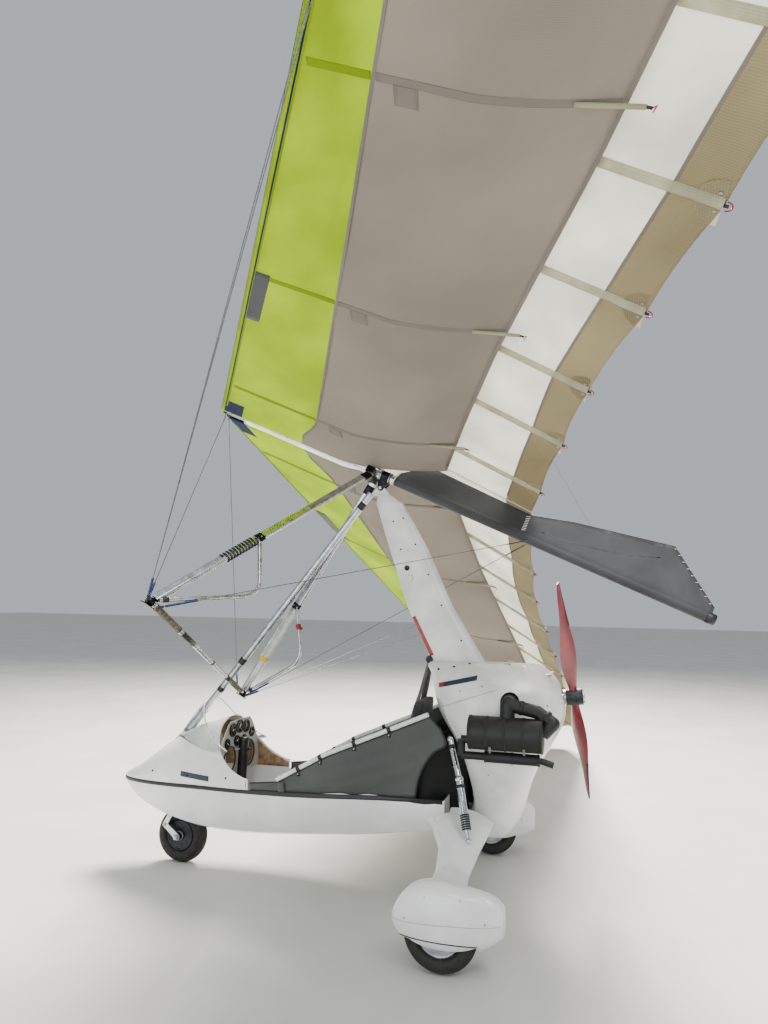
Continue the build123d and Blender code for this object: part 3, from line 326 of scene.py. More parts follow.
# Clear acrylic of the windscreen, with a pale green edge
acrylic, acrylic_tree, acrylic_shader = new_material("clear_acrylic")
acrylic_shader.inputs["Transmission Weight"].default_value = 1.0
acrylic_shader.inputs["IOR"].default_value = 1.49
acrylic_haze = put(
    acrylic_tree,
    "ShaderNodeTexNoise",
    {"Scale": 14.0, "Detail": 3.0},
    {"Vector": put(acrylic_tree, "ShaderNodeTexCoord").outputs["Object"]},
)
acrylic_range = put(
    acrylic_tree,
    "ShaderNodeMapRange",
    {"To Min": 0.0, "To Max": 0.02},
    {"Value": acrylic_haze.outputs["Fac"]},
)
acrylic_tree.links.new(acrylic_range.outputs["Result"], acrylic_shader.inputs["Roughness"])
acrylic_shader.inputs["Base Color"].default_value = hexa("FCFEFD")


# Mesh helpers
def mesh_piece(name, verts, faces, materials, slots=None, uvs=None, smooth=True):
    """A mesh object in place, with a material per face and its own UV map in metres."""
    mesh = bpy.data.meshes.new(name)
    mesh.from_pydata([tuple(v) for v in verts], [], faces)
    for mat in materials:
        mesh.materials.append(mat)
    if slots:
        mesh.polygons.foreach_set("material_index", slots)
    if uvs:
        layer = mesh.uv_layers.new(name="metres")
        for loop in mesh.loops:
            layer.data[loop.index].uv = uvs[loop.vertex_index]
    if smooth:
        mesh.polygons.foreach_set("use_smooth", [True] * len(mesh.polygons))
    mesh.validate()
    return linked(name, mesh)


def outward(piece):
    """Merges doubles and turns the faces of a closed form outwards."""
    bm = bmesh.new()
    bm.from_mesh(piece.data)
    bmesh.ops.remove_doubles(bm, verts=bm.verts, dist=1e-6)
    bmesh.ops.recalc_face_normals(bm, faces=bm.faces)
    bm.to_mesh(piece.data)
    bm.free()
    return piece


def settled(piece):
    """Turns what a piece's modifiers make into its plain mesh."""
    bpy.context.view_layer.update()
    made = piece.evaluated_get(bpy.context.evaluated_depsgraph_get())
    flat = bpy.data.meshes.new_from_object(made)
    piece.modifiers.clear()
    piece.data = flat
    return piece


def thicken(piece, amount, offset):
    """Gives a sheet its thickness, to the side that offset says."""
    solid = piece.modifiers.new("thickness", "SOLIDIFY")
    solid.thickness = amount
    solid.offset = offset
    return settled(piece)


def joined(name, parts, body):
    """One piece from several, riding on a body."""
    bpy.ops.object.select_all(action="DESELECT")
    for part in parts:
        part.select_set(True)
    bpy.context.view_layer.objects.active = parts[0]
    if len(parts) > 1:
        bpy.ops.object.join()
    parts[0].name = name
    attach(parts[0], body)
    return parts[0]


def quads(rows, width, closed=False, looped=False, flip=False):
    """Faces over rows of points; closed joins a row's ends, looped the last row to the first."""
    faces = []
    for j in range(rows if looped else rows - 1):
        for i in range(width if closed else width - 1):
            n, m = (i + 1) % width, (j + 1) % rows
            quad = (j * width + i, j * width + n, m * width + n, m * width + i)
            faces.append(quad[::-1] if flip else quad)
    return faces


def pipe_faces(rings, sides):
    """Faces over rings of points, with both ends closed."""
    last = (rings - 1) * sides
    ends = [tuple(range(sides))[::-1], tuple(range(last, last + sides))]
    return quads(rings, sides, closed=True) + ends


def ring(centre, side, other, radius, count):
    """Points round a circle, from its side way towards its other way."""
    turns = [2 * math.pi * k / count for k in range(count)]
    return [
        centre + side * (math.cos(a) * radius) + other * (math.sin(a) * radius) for a in turns
    ]


def arc_between(a, b, c, count):
    """Points on the arc from a through b to c, all in one plane given as (x, z)."""
    ax, az = a
    bx, bz = b
    cx, cz = c
    d = 2 * (ax * (bz - cz) + bx * (cz - az) + cx * (az - bz))
    sa, sb, sc = ax * ax + az * az, bx * bx + bz * bz, cx * cx + cz * cz
    ux = (sa * (bz - cz) + sb * (cz - az) + sc * (az - bz)) / d
    uz = (sa * (cx - bx) + sb * (ax - cx) + sc * (bx - ax)) / d
    r = math.hypot(ax - ux, az - uz)
    t0, t1, t2 = (math.atan2(z - uz, x - ux) for x, z in (a, b, c))
    full = 2 * math.pi
    ahead = (t2 - t0) % full
    if (t1 - t0) % full > ahead:
        ahead -= full
    return [
        (ux + r * math.cos(t0 + ahead * i / count), uz + r * math.sin(t0 + ahead * i / count))
        for i in range(count + 1)
    ]


def tube(name, points, radius, material, sides=12, taper=None):
    """A round tube with closed ends along points; taper gives a radius for each of them."""
    pts = [Vector(p) for p in points]
    verts = []
    side = None
    for i, p in enumerate(pts):
        ahead = (pts[min(i + 1, len(pts) - 1)] - pts[max(i - 1, 0)]).normalized()
        if side is None:
            side = ahead.orthogonal().normalized()
        side = (side - ahead * side.dot(ahead)).normalized()
        r = taper[i] if taper else radius
        verts += ring(p, side, ahead.cross(side), r, sides)
    return mesh_piece(name, verts, pipe_faces(len(pts), sides), [material])


def sleeve(name, start, end, radius, material, sides=20):
    """A short sleeve round a tube, with softened ends."""
    run = end - start
    soft = min(0.12, 0.0015 / run.length)
    steps = [0.0, soft, 1 - soft, 1.0]
    radii = [radius * 0.93, radius, radius, radius * 0.93]
    return tube(name, [start + run * s for s in steps], radius, material, sides, radii)


def turned(name, centre, axis, profile, material, sides=48):
    """A form turned round an axis from a profile of (along, radius)."""
    axis = axis.normalized()
    side = axis.orthogonal().normalized()
    verts = []
    for along, radius in profile:
        verts += ring(centre + axis * along, side, axis.cross(side), radius, sides)
    return outward(mesh_piece(name, verts, pipe_faces(len(profile), sides), [material]))


def raised(name, centre, axis, half, edge, low, high, material, sides):
    """A turned band with its edges sloped from low to high."""
    profile = [(-half, low), (-half + edge, high), (half - edge, high), (half, low)]
    return turned(name, centre, axis, profile, material, sides)


def wear(node, material):
    """Gives a CAD node its material."""
    mesh = nodes[node].data
    mesh.materials.clear()
    mesh.materials.append(material)


# CAD nodes that show as they are
NODE_FINISH = {
    "pod_lower": gelcoat,
    "nose_cone": gelcoat,
    "windscreen": acrylic,
    "instrument_panel": panel_grey,
    "trike_beam": powder_black,
    "steering_head": powder_black,
    "engine_cowling": gelcoat_dusty,
    "engine_block": cast,
    "prop_shaft": stainless,
    "exhaust": stove_black,
    "pylon_fairing": gelcoat_dusty,
    "pylon_head": white_paint,
    "front_strut": anodised,
    "nose_fork": anodised,
    "prop_hub": rim_paint,
    "prop_blades": lacquer,
    "hang_bracket": black_anodised,
    "keel_tube": anodised,
    "apex_bracket": black_anodised,
    "nose_plate": stainless,
    "base_bar": anodised,
    "corner_knuckles": black_anodised,
    "king_post": anodised,
    "lower_stays": wire_steel,
    "upper_stays": wire_steel,
    "tyre_nose": rubber,
    "rim_nose": rim_paint,
    "keel_pocket": pocket_cloth,
    "seat_front": seat_cloth,
    "seat_rear": seat_cloth,
}
SIDE_FINISH = {
    "side_rail": white_paint,
    "side_panel": side_cloth,
    "main_leg": gelcoat,
    "spat": gelcoat,
    "stub_axle": stainless,
    "suspension_strut": chrome,
    "tyre": rubber,
    "rim": rim_silver,
    "leading_edge": anodised,
    "cross_tube": anodised,
    "upright": anodised,
    "training_bar": anodised,
    "sail_upper": white_cloth,
    "sail_lower": under_cloth,
}
for node, mat in NODE_FINISH.items():
    wear(node, mat)
for stem, mat in SIDE_FINISH.items():
    for side_name, _ in SIDES:
        wear(f"{stem}_{side_name}", mat)

# Sail
# Ribs of the sail: distance out, trailing edge, its height, crown, lower skin's hem
RIBS = [
    (0.006, -0.950, 0.170, 0.190, -0.380),
    (0.032, -0.955, 0.170, 0.190, -0.385),
    (0.550, -1.020, 0.166, 0.198, -0.495),
    (1.200, -1.105, 0.172, 0.188, -0.655),
    (2.200, -1.365, 0.202, 0.160, -0.950),
    (3.300, -1.620, 0.270, 0.126, -1.230),
    (4.300, -1.830, 0.350, 0.084, -1.500),
    (4.850, -1.700, 0.385, 0.042, -1.500),
]
EDGE_RADIUS = 0.040
CLOTH = 0.0012
# Battens of the single-surface cloth, and of the lower skin, by distance out
BATTENS = [0.26, 0.76, 1.20, 1.70, 2.18, 2.66, 3.14, 3.62, 4.10, 4.54]
LOWER_BATTENS = [0.36, 1.36, 2.40, 3.30, 4.00]


def rib_at(y):
    """The rib's values at a distance out, between the rows of RIBS."""
    for a, b in zip(RIBS, RIBS[1:]):
        if y <= b[0]:
            t = (y - a[0]) / (b[0] - a[0])
            return [p + (q - p) * t for p, q in zip(a, b)]
    return list(RIBS[-1])


def edge_x(y):
    """Where the leading edge is along the keel, at a distance out."""
    return 1.220 - 0.46 * y


def edge_z(y):
    """How far the leading edge is above the keel, at a distance out."""
    return 0.052 * y


def upper_height(row, x):
    """Height of the upper skin on a rib, from its line and its crown."""
    y, te_x, te_z, crown, _ = row
    s = (edge_x(y) - x) / (edge_x(y) - te_x)
    base = edge_z(y) + (te_z - edge_z(y)) * s
    rise = 1.0 - 0.28 * ((s - 0.30) / 0.32) ** 2 if s < 0.62 else 0.72 * (1.0 - s) / 0.38
    return base + crown * rise


def upper_line(y, count=26):
    """The upper skin from below the leading edge, round it and back to the trailing edge."""
    row = rib_at(y)
    te_x, te_z = row[1], row[2]
    x0, z0, r = edge_x(y), edge_z(y), EDGE_RADIUS
    chord = x0 - te_x
    xc, xd = x0 - 0.30 * chord, x0 - 0.62 * chord
    nose = arc_between((x0 - r, z0 - r), (x0, z0), (x0 - r, z0 + r), 8)
    crown = arc_between(
        (x0 - r, z0 + r), (xc, upper_height(row, xc)), (xd, upper_height(row, xd)), count
    )
    zd = upper_height(row, xd)
    back = [(xd + (te_x - xd) * i / 16, zd + (te_z - zd) * i / 16) for i in range(1, 17)]
    return nose + crown[1:] + back


def lower_line(y, count=24):
    """The lower skin from the leading edge to its hem."""
    row = rib_at(y)
    hem = row[4]
    x0 = edge_x(y) - EDGE_RADIUS - 0.0003
    z0 = edge_z(y) - EDGE_RADIUS
    x1, z1 = hem, upper_height(row, hem) - 0.030
    xk, zk = x0 + (x1 - x0) * 0.60, z0 + (z1 - z0) * 0.02
    xm, zm = (xk + x1) / 2, zk + (z1 - zk) * 0.36
    front = [(x0 + (xk - x0) * i / 12, z0 + (zk - z0) * i / 12) for i in range(12)]
    return front + arc_between((xk, zk), (xm, zm), (x1, z1), count)


def smooth_step(a, b, x):
    """Rises from 0 at a to 1 at b without a kink."""
    t = min(max((x - a) / (b - a), 0.0), 1.0)
    return t * t * (3 - 2 * t)


def between(y, marks):
    """How far y is between its two neighbours of marks, 0 on one and 1 in the middle."""
    below = max([m for m in marks if m <= y], default=None)
    above = min([m for m in marks if m > y], default=None)
    if below is None or above is None:
        return 0.0
    return math.sin(math.pi * (y - below) / (above - below))


def height_at(line, x):
    """Height at x of a line of (x, z), which goes on level past its ends."""
    for a, b in zip(line, line[1:]):
        if min(a[0], b[0]) <= x <= max(a[0], b[0]):
            return a[1] + (b[1] - a[1]) * (x - a[0]) / (b[0] - a[0])
    return min((line[0], line[-1]), key=lambda end: abs(end[0] - x))[1]


def span_stations(marks, first, last, per_bay=7):
    """Stations out along the span that fall on every batten."""
    stops = [first, *[m for m in marks if first < m < last], last]
    out = []
    for a, b in zip(stops, stops[1:]):
        out += [a + (b - a) * i / per_bay for i in range(per_bay)]
    return out + [last]


def resampled(line, stops, counts, keep=0):
    """The line with its first keep points, then columns that fall on each stop along x."""
    out = list(line[:keep])
    rest = line[max(keep - 1, 0) :]
    ends = [rest[0][0], *stops, rest[-1][0]]
    for n, (a, b) in enumerate(zip(ends, ends[1:])):
        first = 1 if keep or n else 0
        for i in range(first, counts[n] + 1):
            x = min(max(a + (b - a) * i / counts[n], rest[-1][0]), rest[0][0])
            out.append((x, height_at(rest, x)))
    return out


def cloth_grid(name, side, stations, line_of, lift_of, zone_of, materials, flip):
    """A sheet through lines at stations, lifted off by lift_of, zoned by zone_of."""
    verts, uvs, slots = [], [], []
    rows = [line_of(y) for y in stations]
    for y, row in zip(stations, rows):
        run = 0.0
        for i, (x, z) in enumerate(row):
            run += math.dist(row[max(i - 1, 0)], (x, z))
            dx, dz = lift_of(y, x)
            verts.append(on_wing(x + dx, side * y, z + dz))
            uvs.append((run, side * y))
    for a, b in zip(stations, stations[1:]):
        slots += [zone_of((a + b) / 2, i) for i in range(len(rows[0]) - 1)]
    faces = quads(len(rows), len(rows[0]), flip=flip)
    return mesh_piece(name, verts, faces, materials, slots, uvs)


# Depth of the band along the trailing edge and of the one along the leading edge, half the
# width of the nose patch, and how far out the lower skin and the sail end
TAN_DEPTH = 0.17
EDGE_BAND = 0.052
NOSE_PATCH = 0.17
HEM_END = 4.3
TIP_Y = 4.85
UPPER_MATERIALS = [white_cloth, navy_cloth, tan_cloth, lime_cloth]
LOWER_MATERIALS = [lime_cloth, navy_cloth, under_cloth]
UPPER_COLUMNS = [22, 10]
LOWER_COLUMNS = [2, 4, 8, 22]


def tan_line(y):
    """Where the band along the trailing edge begins."""
    return rib_at(y)[1] + TAN_DEPTH - 0.010 * between(y, BATTENS)


def lime_line(y):
    """Where the lime panel of the lower skin ends."""
    return 0.545 - 0.12 * smooth_step(0.0, 0.35, y) - 0.285 * max(y - 0.15, 0.0)


def patch_line(y):
    """The rear edge of the nose patch, and further out a column inside the lime panel."""
    start, end = edge_x(y) - EDGE_BAND, lime_line(y)
    return start + (end - start) * (0.20 if y > NOSE_PATCH else 0.22)


def upper_columns(y):
    """A station's points on the upper skin, with columns on the trailing band's seam."""
    return resampled(upper_line(y), [tan_line(y)], UPPER_COLUMNS, keep=9)


def lower_columns(y):
    """A station's points on the lower skin, with columns on its seams."""
    stops = [edge_x(y) - EDGE_BAND, patch_line(y), lime_line(y)]
    return resampled(lower_line(y), stops, LOWER_COLUMNS)


def upper_zone(y, column):
    """Which of UPPER_MATERIALS a column of the upper skin is cut from."""
    if column >= 8 + UPPER_COLUMNS[0]:
        return 2
    if column < 2:
        return 3
    return 1 if column < 5 else 0


def lower_zone(y, column):
    """Which of LOWER_MATERIALS a column of the lower skin is cut from."""
    if column < LOWER_COLUMNS[0]:
        return 1
    if column < sum(LOWER_COLUMNS[:2]) and y < NOSE_PATCH:
        return 1
    return 0 if column < sum(LOWER_COLUMNS[:3]) else 2


def upper_lift(y, x):
    """Scallops of the trailing edge, and the cloth's slack between battens."""
    te = rib_at(y)[1]
    bay = between(y, BATTENS)
    back = smooth_step(te + 0.9, te, x)
    dx = 0.014 * bay * back * back
    crease = 0.0035 * math.sin(46.0 * (x + 0.35 * y)) * math.sin(7.0 * y + 11.0 * x)
    return dx, -0.010 * bay * smooth_step(te + 1.1, te + 0.4, x) + crease * back * bay


def lower_lift(y, x):
    """The lower skin's rise between its battens."""
    bay = between(y, [0.032, *LOWER_BATTENS, HEM_END])
    hem = rib_at(y)[4]
    mid = smooth_step(edge_x(y) - 0.05, edge_x(y) - 0.5, x) * smooth_step(hem, hem + 0.25, x)
    return 0.0, 0.006 * bay * mid


for side_name, side in SIDES:
    stations = span_stations(BATTENS, 0.006, TIP_Y)
    upper = cloth_grid(
        f"sail_top_{side_name}",
        side,
        stations,
        upper_columns,
        upper_lift,
        upper_zone,
        UPPER_MATERIALS,
        flip=side < 0,
    )
    thicken(upper, CLOTH, -1.0)
    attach(upper, "wing")
    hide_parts(f"sail_upper_{side_name}")
    stations = span_stations([NOSE_PATCH, *LOWER_BATTENS], 0.032, HEM_END)
    lower = cloth_grid(
        f"sail_under_{side_name}",
        side,
        stations,
        lower_columns,
        lower_lift,
        lower_zone,
        LOWER_MATERIALS,
        flip=side > 0,
    )
    thicken(lower, CLOTH, -1.0)
    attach(lower, "wing")
    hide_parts(f"sail_lower_{side_name}")


def upper_z(y, x):
    """Height of the upper skin's sheet at a place, with its slack up to its rear edge."""
    line = upper_line(y)[8:]
    slack = upper_lift(y, x)[1] if x >= line[-1][0] else 0.0
    return height_at(line, x) + slack


def lower_z(y, x):
    """Height of the lower skin at a place, and of its hem where that is ahead of it."""
    line = lower_line(y)
    return height_at(line, x) if x <= line[0][0] else line[-1][1]


# Batten pockets under the single-surface cloth, each with its tip patch and bungee
POCKET_SECTION = [(-0.021, 0.0), (-0.012, 0.011), (0.0, 0.015), (0.012, 0.011), (0.021, 0.0)]
EYELET = [(-0.001, 0.006), (0.0015, 0.0055), (0.002, 0.003)]
for side_name, side in SIDES:
    parts = []
    for y in BATTENS:
        hem = rib_at(y)[4] if y < HEM_END else -1.30
        te = rib_at(y)[1]
        verts, uvs = [], []
        for i in range(15):
            x = hem + 0.06 + (te + 0.004 - hem - 0.06) * i / 14
            z = upper_z(y, x) - CLOTH
            for off, sag in POCKET_SECTION:
                verts.append(on_wing(x, side * (y + off), z - sag - 0.0006))
                uvs.append((x, off))
        faces = quads(15, len(POCKET_SECTION), flip=side < 0)
        parts.append(mesh_piece("pocket", verts, faces, [pocket_trim], None, uvs))
        # the batten's alloy tip and the loop that holds it
        tip_z = upper_z(y, te + 0.02) - 0.010
        tip = [on_wing(te + dx, side * y, tip_z) for dx in (0.01, -0.012)]
        parts.append(tube("tip", tip, 0.0055, powder_black, 8))
        loop = []
        for k in range(9):
            a = math.pi * k / 8
            across = side * (y + 0.016 * math.cos(a))
            loop.append(on_wing(te - 0.004 - 0.020 * math.sin(a), across, tip_z - 0.001))
        parts.append(tube("loop", loop, 0.0026, signal_red, 6))
        # half-round patch with two eyelets
        patch = [on_wing(te + 0.006, side * y, upper_z(y, te + 0.02) - 0.0045)]
        for k in range(13):
            a = math.pi * k / 12
            px, py = te + 0.006 + 0.090 * math.sin(a), y + 0.075 * math.cos(a)
            patch.append(on_wing(px, side * py, upper_z(min(py, TIP_Y - 0.01), px) - 0.0035))
        faces = [(0, k, k + 1) if side < 0 else (0, k + 1, k) for k in range(1, 13)]
        uvs = [(v.x, v.y) for v in patch]
        parts.append(mesh_piece("patch", patch, faces, [tan_cloth], None, uvs))
        for off in (-0.033, 0.033):
            at = on_wing(te + 0.024, side * (y + off), upper_z(y, te + 0.024) - 0.006)
            parts.append(turned("eyelet", at, -LIFT, EYELET, stainless, 12))
    joined(f"batten_pockets_{side_name}", parts, "wing")

# Stubs of the lower skin's battens, with their bungees
for side_name, side in SIDES:
    parts = []
    for y in LOWER_BATTENS[:4]:
        hem = rib_at(y)[4]
        start = on_wing(hem + 0.14, side * y, lower_z(y, hem + 0.14) - 0.008)
        end = on_wing(hem - 0.055, side * y, lower_z(y, hem + 0.01) - 0.008)
        tip = end - KEEL * 0.018
        tail = [tip, end - KEEL * 0.030 + SPAN * 0.010 * side, end - KEEL * 0.026 - LIFT * 0.02]
        parts.append(tube("stub", [start, end], 0.008, pocket_trim, 8))
        parts.append(tube("stub_tip", [end, tip], 0.005, powder_black, 8))
        parts.append(tube("bungee", tail, 0.0022, signal_red, 6))
    joined(f"lower_battens_{side_name}", parts, "wing")


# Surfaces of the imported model, read as places to set trim on
def surface(node):
    """A tree of a CAD node's faces that rays are dropped on."""
    mesh = nodes[node].data
    return BVHTree.FromPolygons(
        [v.co.copy() for v in mesh.vertices], [tuple(p.vertices) for p in mesh.polygons]
    )


def drop(tree, start, way):
    """Where a ray from start along way meets the surface, and its outward normal."""
    hit, normal, _, _ = tree.ray_cast(start, way, 3.0)
    if hit is None:
        return None
    return hit, -normal if normal.dot(way) > 0 else normal


def side_path(tree, points, side, reach=0.9):
    """Points (x, z) of the trike dropped on a surface from one side, with its normals."""
    way = Vector((0, -side, 0))
    found = [drop(tree, on_trike(x, side * reach, z), way) for x, z in points]
    return [spot for spot in found if spot]


def densify(points, step):
    """The points with more between them, so that none are further apart than two steps."""
    out = []
    for a, b in zip(points, points[1:]):
        count = max(1, int(math.dist(a, b) / step))
        out += [tuple(p + (q - p) * i / count for p, q in zip(a, b)) for i in range(count)]
    return out + [tuple(points[-1])]


def stations_of(lines, step):
    """Places along x that fall on every point of the lines, a step apart or so."""
    stops = sorted({(p[0],) for line in lines for p in line})
    return [x for (x,) in densify(stops, step)]


def curve_through(points, per=8):
    """Points on a smooth line through the given ones."""
    out = []
    for i in range(len(points) - 1):
        p0, p1 = points[max(i - 1, 0)], points[i]
        p2, p3 = points[i + 1], points[min(i + 2, len(points) - 1)]
        for k in range(per):
            t = k / per
            bend = (2 * p0 - 5 * p1 + 4 * p2 - p3) * t * t + (3 * p1 - p0 - 3 * p2 + p3) * t ** 3
            out.append(0.5 * (2 * p1 + (p2 - p0) * t + bend))
    return out + [points[-1]]


BAND_SECTION = [(-1.0, -0.4), (-0.96, 0.6), (-0.8, 1.0), (0.8, 1.0), (0.96, 0.6), (1.0, -0.4)]


def band(name, found, half, depth, material):
    """A flat strip with rolled edges along points that come with their normals."""
    verts, faces, uvs = [], [], []
    run = 0.0
    for i, (p, n) in enumerate(found):
        before, after = found[max(i - 1, 0)][0], found[min(i + 1, len(found) - 1)][0]
        run += (p - before).length
        across = n.cross((after - before).normalized()).normalized()
        for a, d in BAND_SECTION:
            verts.append(p + across * (a * half) + n * (d * depth))
            uvs.append((run, a * half))
    k = len(BAND_SECTION)
    for i in range(0, (len(found) - 1) * k, k):
        for j in range(k):
            m = (j + 1) % k
            faces.append((i + j, i + k + j, i + k + m, i + m))
    faces.append(tuple(range(k)))
    faces.append(tuple((len(found) - 1) * k + j for j in range(k))[::-1])
    return outward(mesh_piece(name, verts, faces, [material], None, uvs))


def plate(name, corners, at, depth, material, grid=10):
    """A thin plate over four corners (u, v); at gives the place of a spot and its height."""
    verts, uvs, faces = [], [], []
    (ax, az), (bx, bz), (cx, cz), (dx, dz) = corners
    for layer in (0.0004, depth):
        for j in range(grid + 1):
            for i in range(grid + 1):
                s, t = i / grid, j / grid
                u = (ax * (1 - s) + bx * s) * (1 - t) + (dx * (1 - s) + cx * s) * t
                v = (az * (1 - s) + bz * s) * (1 - t) + (dz * (1 - s) + cz * s) * t
                verts.append(at(u, v, layer))
                uvs.append((u, v))
    w = grid + 1
    base = w * w
    for a, b, c, d in quads(w, w):
        faces += [(a, b, c, d), (base + a, base + d, base + c, base + b)]
    rim = list(range(w)) + [j * w + grid for j in range(1, w)]
    rim += [grid * w + i for i in range(grid - 1, -1, -1)] + [j * w for j in range(grid - 1, 0, -1)]
    for a, b in zip(rim, rim[1:] + rim[:1]):
        faces.append((a, b, base + b, base + a))
    return outward(mesh_piece(name, verts, faces, [material], None, uvs))


def plate_on(name, tree, corners, side, material):
    """A thin blank plate whose corners (x, z) are dropped on a surface from one side."""

    def at(x, z, off):
        """A place on the surface, that far off it."""
        spot, normal = side_path(tree, [(x, z)], side)[0]
        return spot + normal * off

    return plate(name, corners, at, 0.0016, material)


# Geometry Nodes: heads on points, and cord wound round a bar
def new_tree(name, sizes):
    """A tree with a mesh, its sizes and a material as named inputs, and a mesh out."""
    tree = bpy.data.node_groups.new(name, "GeometryNodeTree")
    for label, kind in [("Geometry", "Geometry"), *sizes.items(), ("Material", "Material")]:
        tree.interface.new_socket(label, in_out="INPUT", socket_type=f"NodeSocket{kind}")
    tree.interface.new_socket("Geometry", in_out="OUTPUT", socket_type="NodeSocketGeometry")
    return tree, put(tree, "NodeGroupInput").outputs


def end_tree(tree, inlet, shape):
    """Ends a tree with real faces in the material that it is given."""
    real = put(tree, "GeometryNodeRealizeInstances", {}, {"Geometry": shape})
    clad = put(
        tree,
        "GeometryNodeSetMaterial",
        {},
        {"Geometry": real.outputs["Geometry"], "Material": inlet["Material"]},
    )
    put(tree, "NodeGroupOutput", {}, {"Geometry": clad.outputs["Geometry"]})
    return tree


def heads_tree():
    """A tree that sets a fastener's head on every point, turned to face its way."""
    sizes = {"Head Radius": "Float", "Head Height": "Float", "Sides": "Int"}
    tree, inlet = new_tree("fastener_heads", sizes)
    top = put(
        tree, "ShaderNodeMath", {"operation": "MULTIPLY", 1: 0.72}, {0: inlet["Head Radius"]}
    )
    head = put(
        tree,
        "GeometryNodeMeshCone",
        {},
        {
            "Vertices": inlet["Sides"],
            "Radius Top": top.outputs[0],
            "Radius Bottom": inlet["Head Radius"],
            "Depth": inlet["Head Height"],
        },
    )
    facing = put(
        tree, "GeometryNodeInputNamedAttribute", {"data_type": "FLOAT_VECTOR", "Name": "facing"}
    )
    turned_to = put(
        tree,
        "FunctionNodeAlignRotationToVector",
        {"axis": "Z"},
        {"Vector": facing.outputs["Attribute"]},
    )
    many = put(
        tree,
        "GeometryNodeInstanceOnPoints",
        {},
        {
            "Points": inlet["Geometry"],
            "Instance": head.outputs["Mesh"],
            "Rotation": turned_to.outputs["Rotation"],
        },
    )
    return end_tree(tree, inlet, many.outputs["Instances"])


def winding_tree():
    """A tree that winds a cord along Z round a bar."""
    labels = ("Bar Radius", "Length", "Turns", "Cord Radius")
    tree, inlet = new_tree("wound_cord", dict.fromkeys(labels, "Float"))
    spiral = put(
        tree,
        "GeometryNodeCurveSpiral",
        {"Resolution": 20},
        {
            "Rotations": inlet["Turns"],
            "Start Radius": inlet["Bar Radius"],
            "End Radius": inlet["Bar Radius"],
            "Height": inlet["Length"],
        },
    )
    section = put(
        tree,
        "GeometryNodeCurvePrimitiveCircle",
        {"Resolution": 6},
        {"Radius": inlet["Cord Radius"]},
    )
    swept = put(
        tree,
        "GeometryNodeCurveToMesh",
        {"Fill Caps": True},
        {"Curve": spiral.outputs["Curve"], "Profile Curve": section.outputs["Curve"]},
    )
    return end_tree(tree, inlet, swept.outputs["Mesh"])


HEADS = heads_tree()
WINDING = winding_tree()


def grown(piece, tree, values):
    """Sets a tree's named inputs on a piece and turns the result into its plain mesh."""
    grow = piece.modifiers.new("grow", "NODES")
    grow.node_group = tree
    for item in tree.interface.items_tree:
        if item.item_type == "SOCKET" and item.in_out == "INPUT" and item.name in values:
            grow[item.identifier] = values[item.name]
    return settled(piece)


def fasteners(name, found, radius, height, material, sides=10):
    """Heads at points that come with their normals."""
    mesh = bpy.data.meshes.new(name)
    mesh.from_pydata([tuple(p + n * 0.0002) for p, n in found], [], [])
    facing = mesh.attributes.new("facing", "FLOAT_VECTOR", "POINT")
    facing.data.foreach_set("vector", [c for _, n in found for c in n])
    return grown(
        linked(name, mesh),
        HEADS,
        {"Head Radius": radius, "Head Height": height, "Sides": sides, "Material": material},
    )


def wound(name, start, end, bar_radius, turns, cord_radius, material, flat_way=None, squash=1.0):
    """Cord wound round a bar from start to end; squash narrows it across flat_way."""
    run = end - start
    mesh = bpy.data.meshes.new(name)
    mesh.from_pydata([(0, 0, 0)], [], [])
    sizes = {
        "Bar Radius": bar_radius,
        "Length": run.length,
        "Turns": float(turns),
        "Cord Radius": cord_radius,
        "Material": material,
    }
    piece = grown(linked(name, mesh), WINDING, sizes)
    z = run.normalized()
    x = (flat_way - z * flat_way.dot(z)).normalized() if flat_way else z.orthogonal().normalized()
    stand = Matrix((x, z.cross(x), z)).transposed().to_4x4()
    piece.data.transform(Matrix.Translation(start) @ stand @ Matrix.Diagonal((squash, 1, 1, 1)))
    return piece


# Pod
TRIM = [
    (2.262, 0.489),
    (2.170, 0.496),
    (2.040, 0.508),
    (1.850, 0.522),
    (1.600, 0.537),
    (1.290, 0.546),
    (0.900, 0.560),
    (0.410, 0.590),
    (0.100, 0.597),
]
NAME_PLATE = [(1.713, 0.606), (1.505, 0.598), (1.505, 0.568), (1.713, 0.576)]
tub = surface("pod_lower")
cone = surface("nose_cone")
cowl = surface("engine_cowling")
fairing = surface("pylon_fairing")
trim_line = [(p.x, p.z) for p in curve_through([Vector((x, 0, z)) for x, z in TRIM], 10)]
parts = []
for side in BOTH:
    path = side_path(tub, [(x, z - 0.010) for x, z in trim_line[1:]], side)
    parts.append(band("trim", path, 0.011, 0.0035, black_tape))
    # rubber cap over the tub's open edge, from the nose cone back
    open_edge = [(x, z - 0.002) for x, z in trim_line if 0.20 < x < 1.236]
    cap = [p - n * 0.003 + Vector((0, 0, 0.002)) for p, n in side_path(tub, open_edge, side)]
    parts.append(tube("cap", cap, 0.0060, black_tape, 8))
    # joint between the nose cone and the tub's rear part, and the cone's screws
    joint = side_path(cone, densify([(1.252, 0.560), (1.252, 0.590)], 0.01), side)
    parts.append(band("joint", joint, 0.002, 0.0012, black_tape))
    spots = side_path(cone, [(1.530, 0.800), (1.387, 0.600), (1.66, 0.585), (1.95, 0.575)], side)
    parts.append(fasteners("studs", spots, 0.0065, 0.004, black_anodised, 14))
    parts.append(plate_on("name_plate", cone, NAME_PLATE, side, slate_film))
joined("pod_trim", parts, "trike")

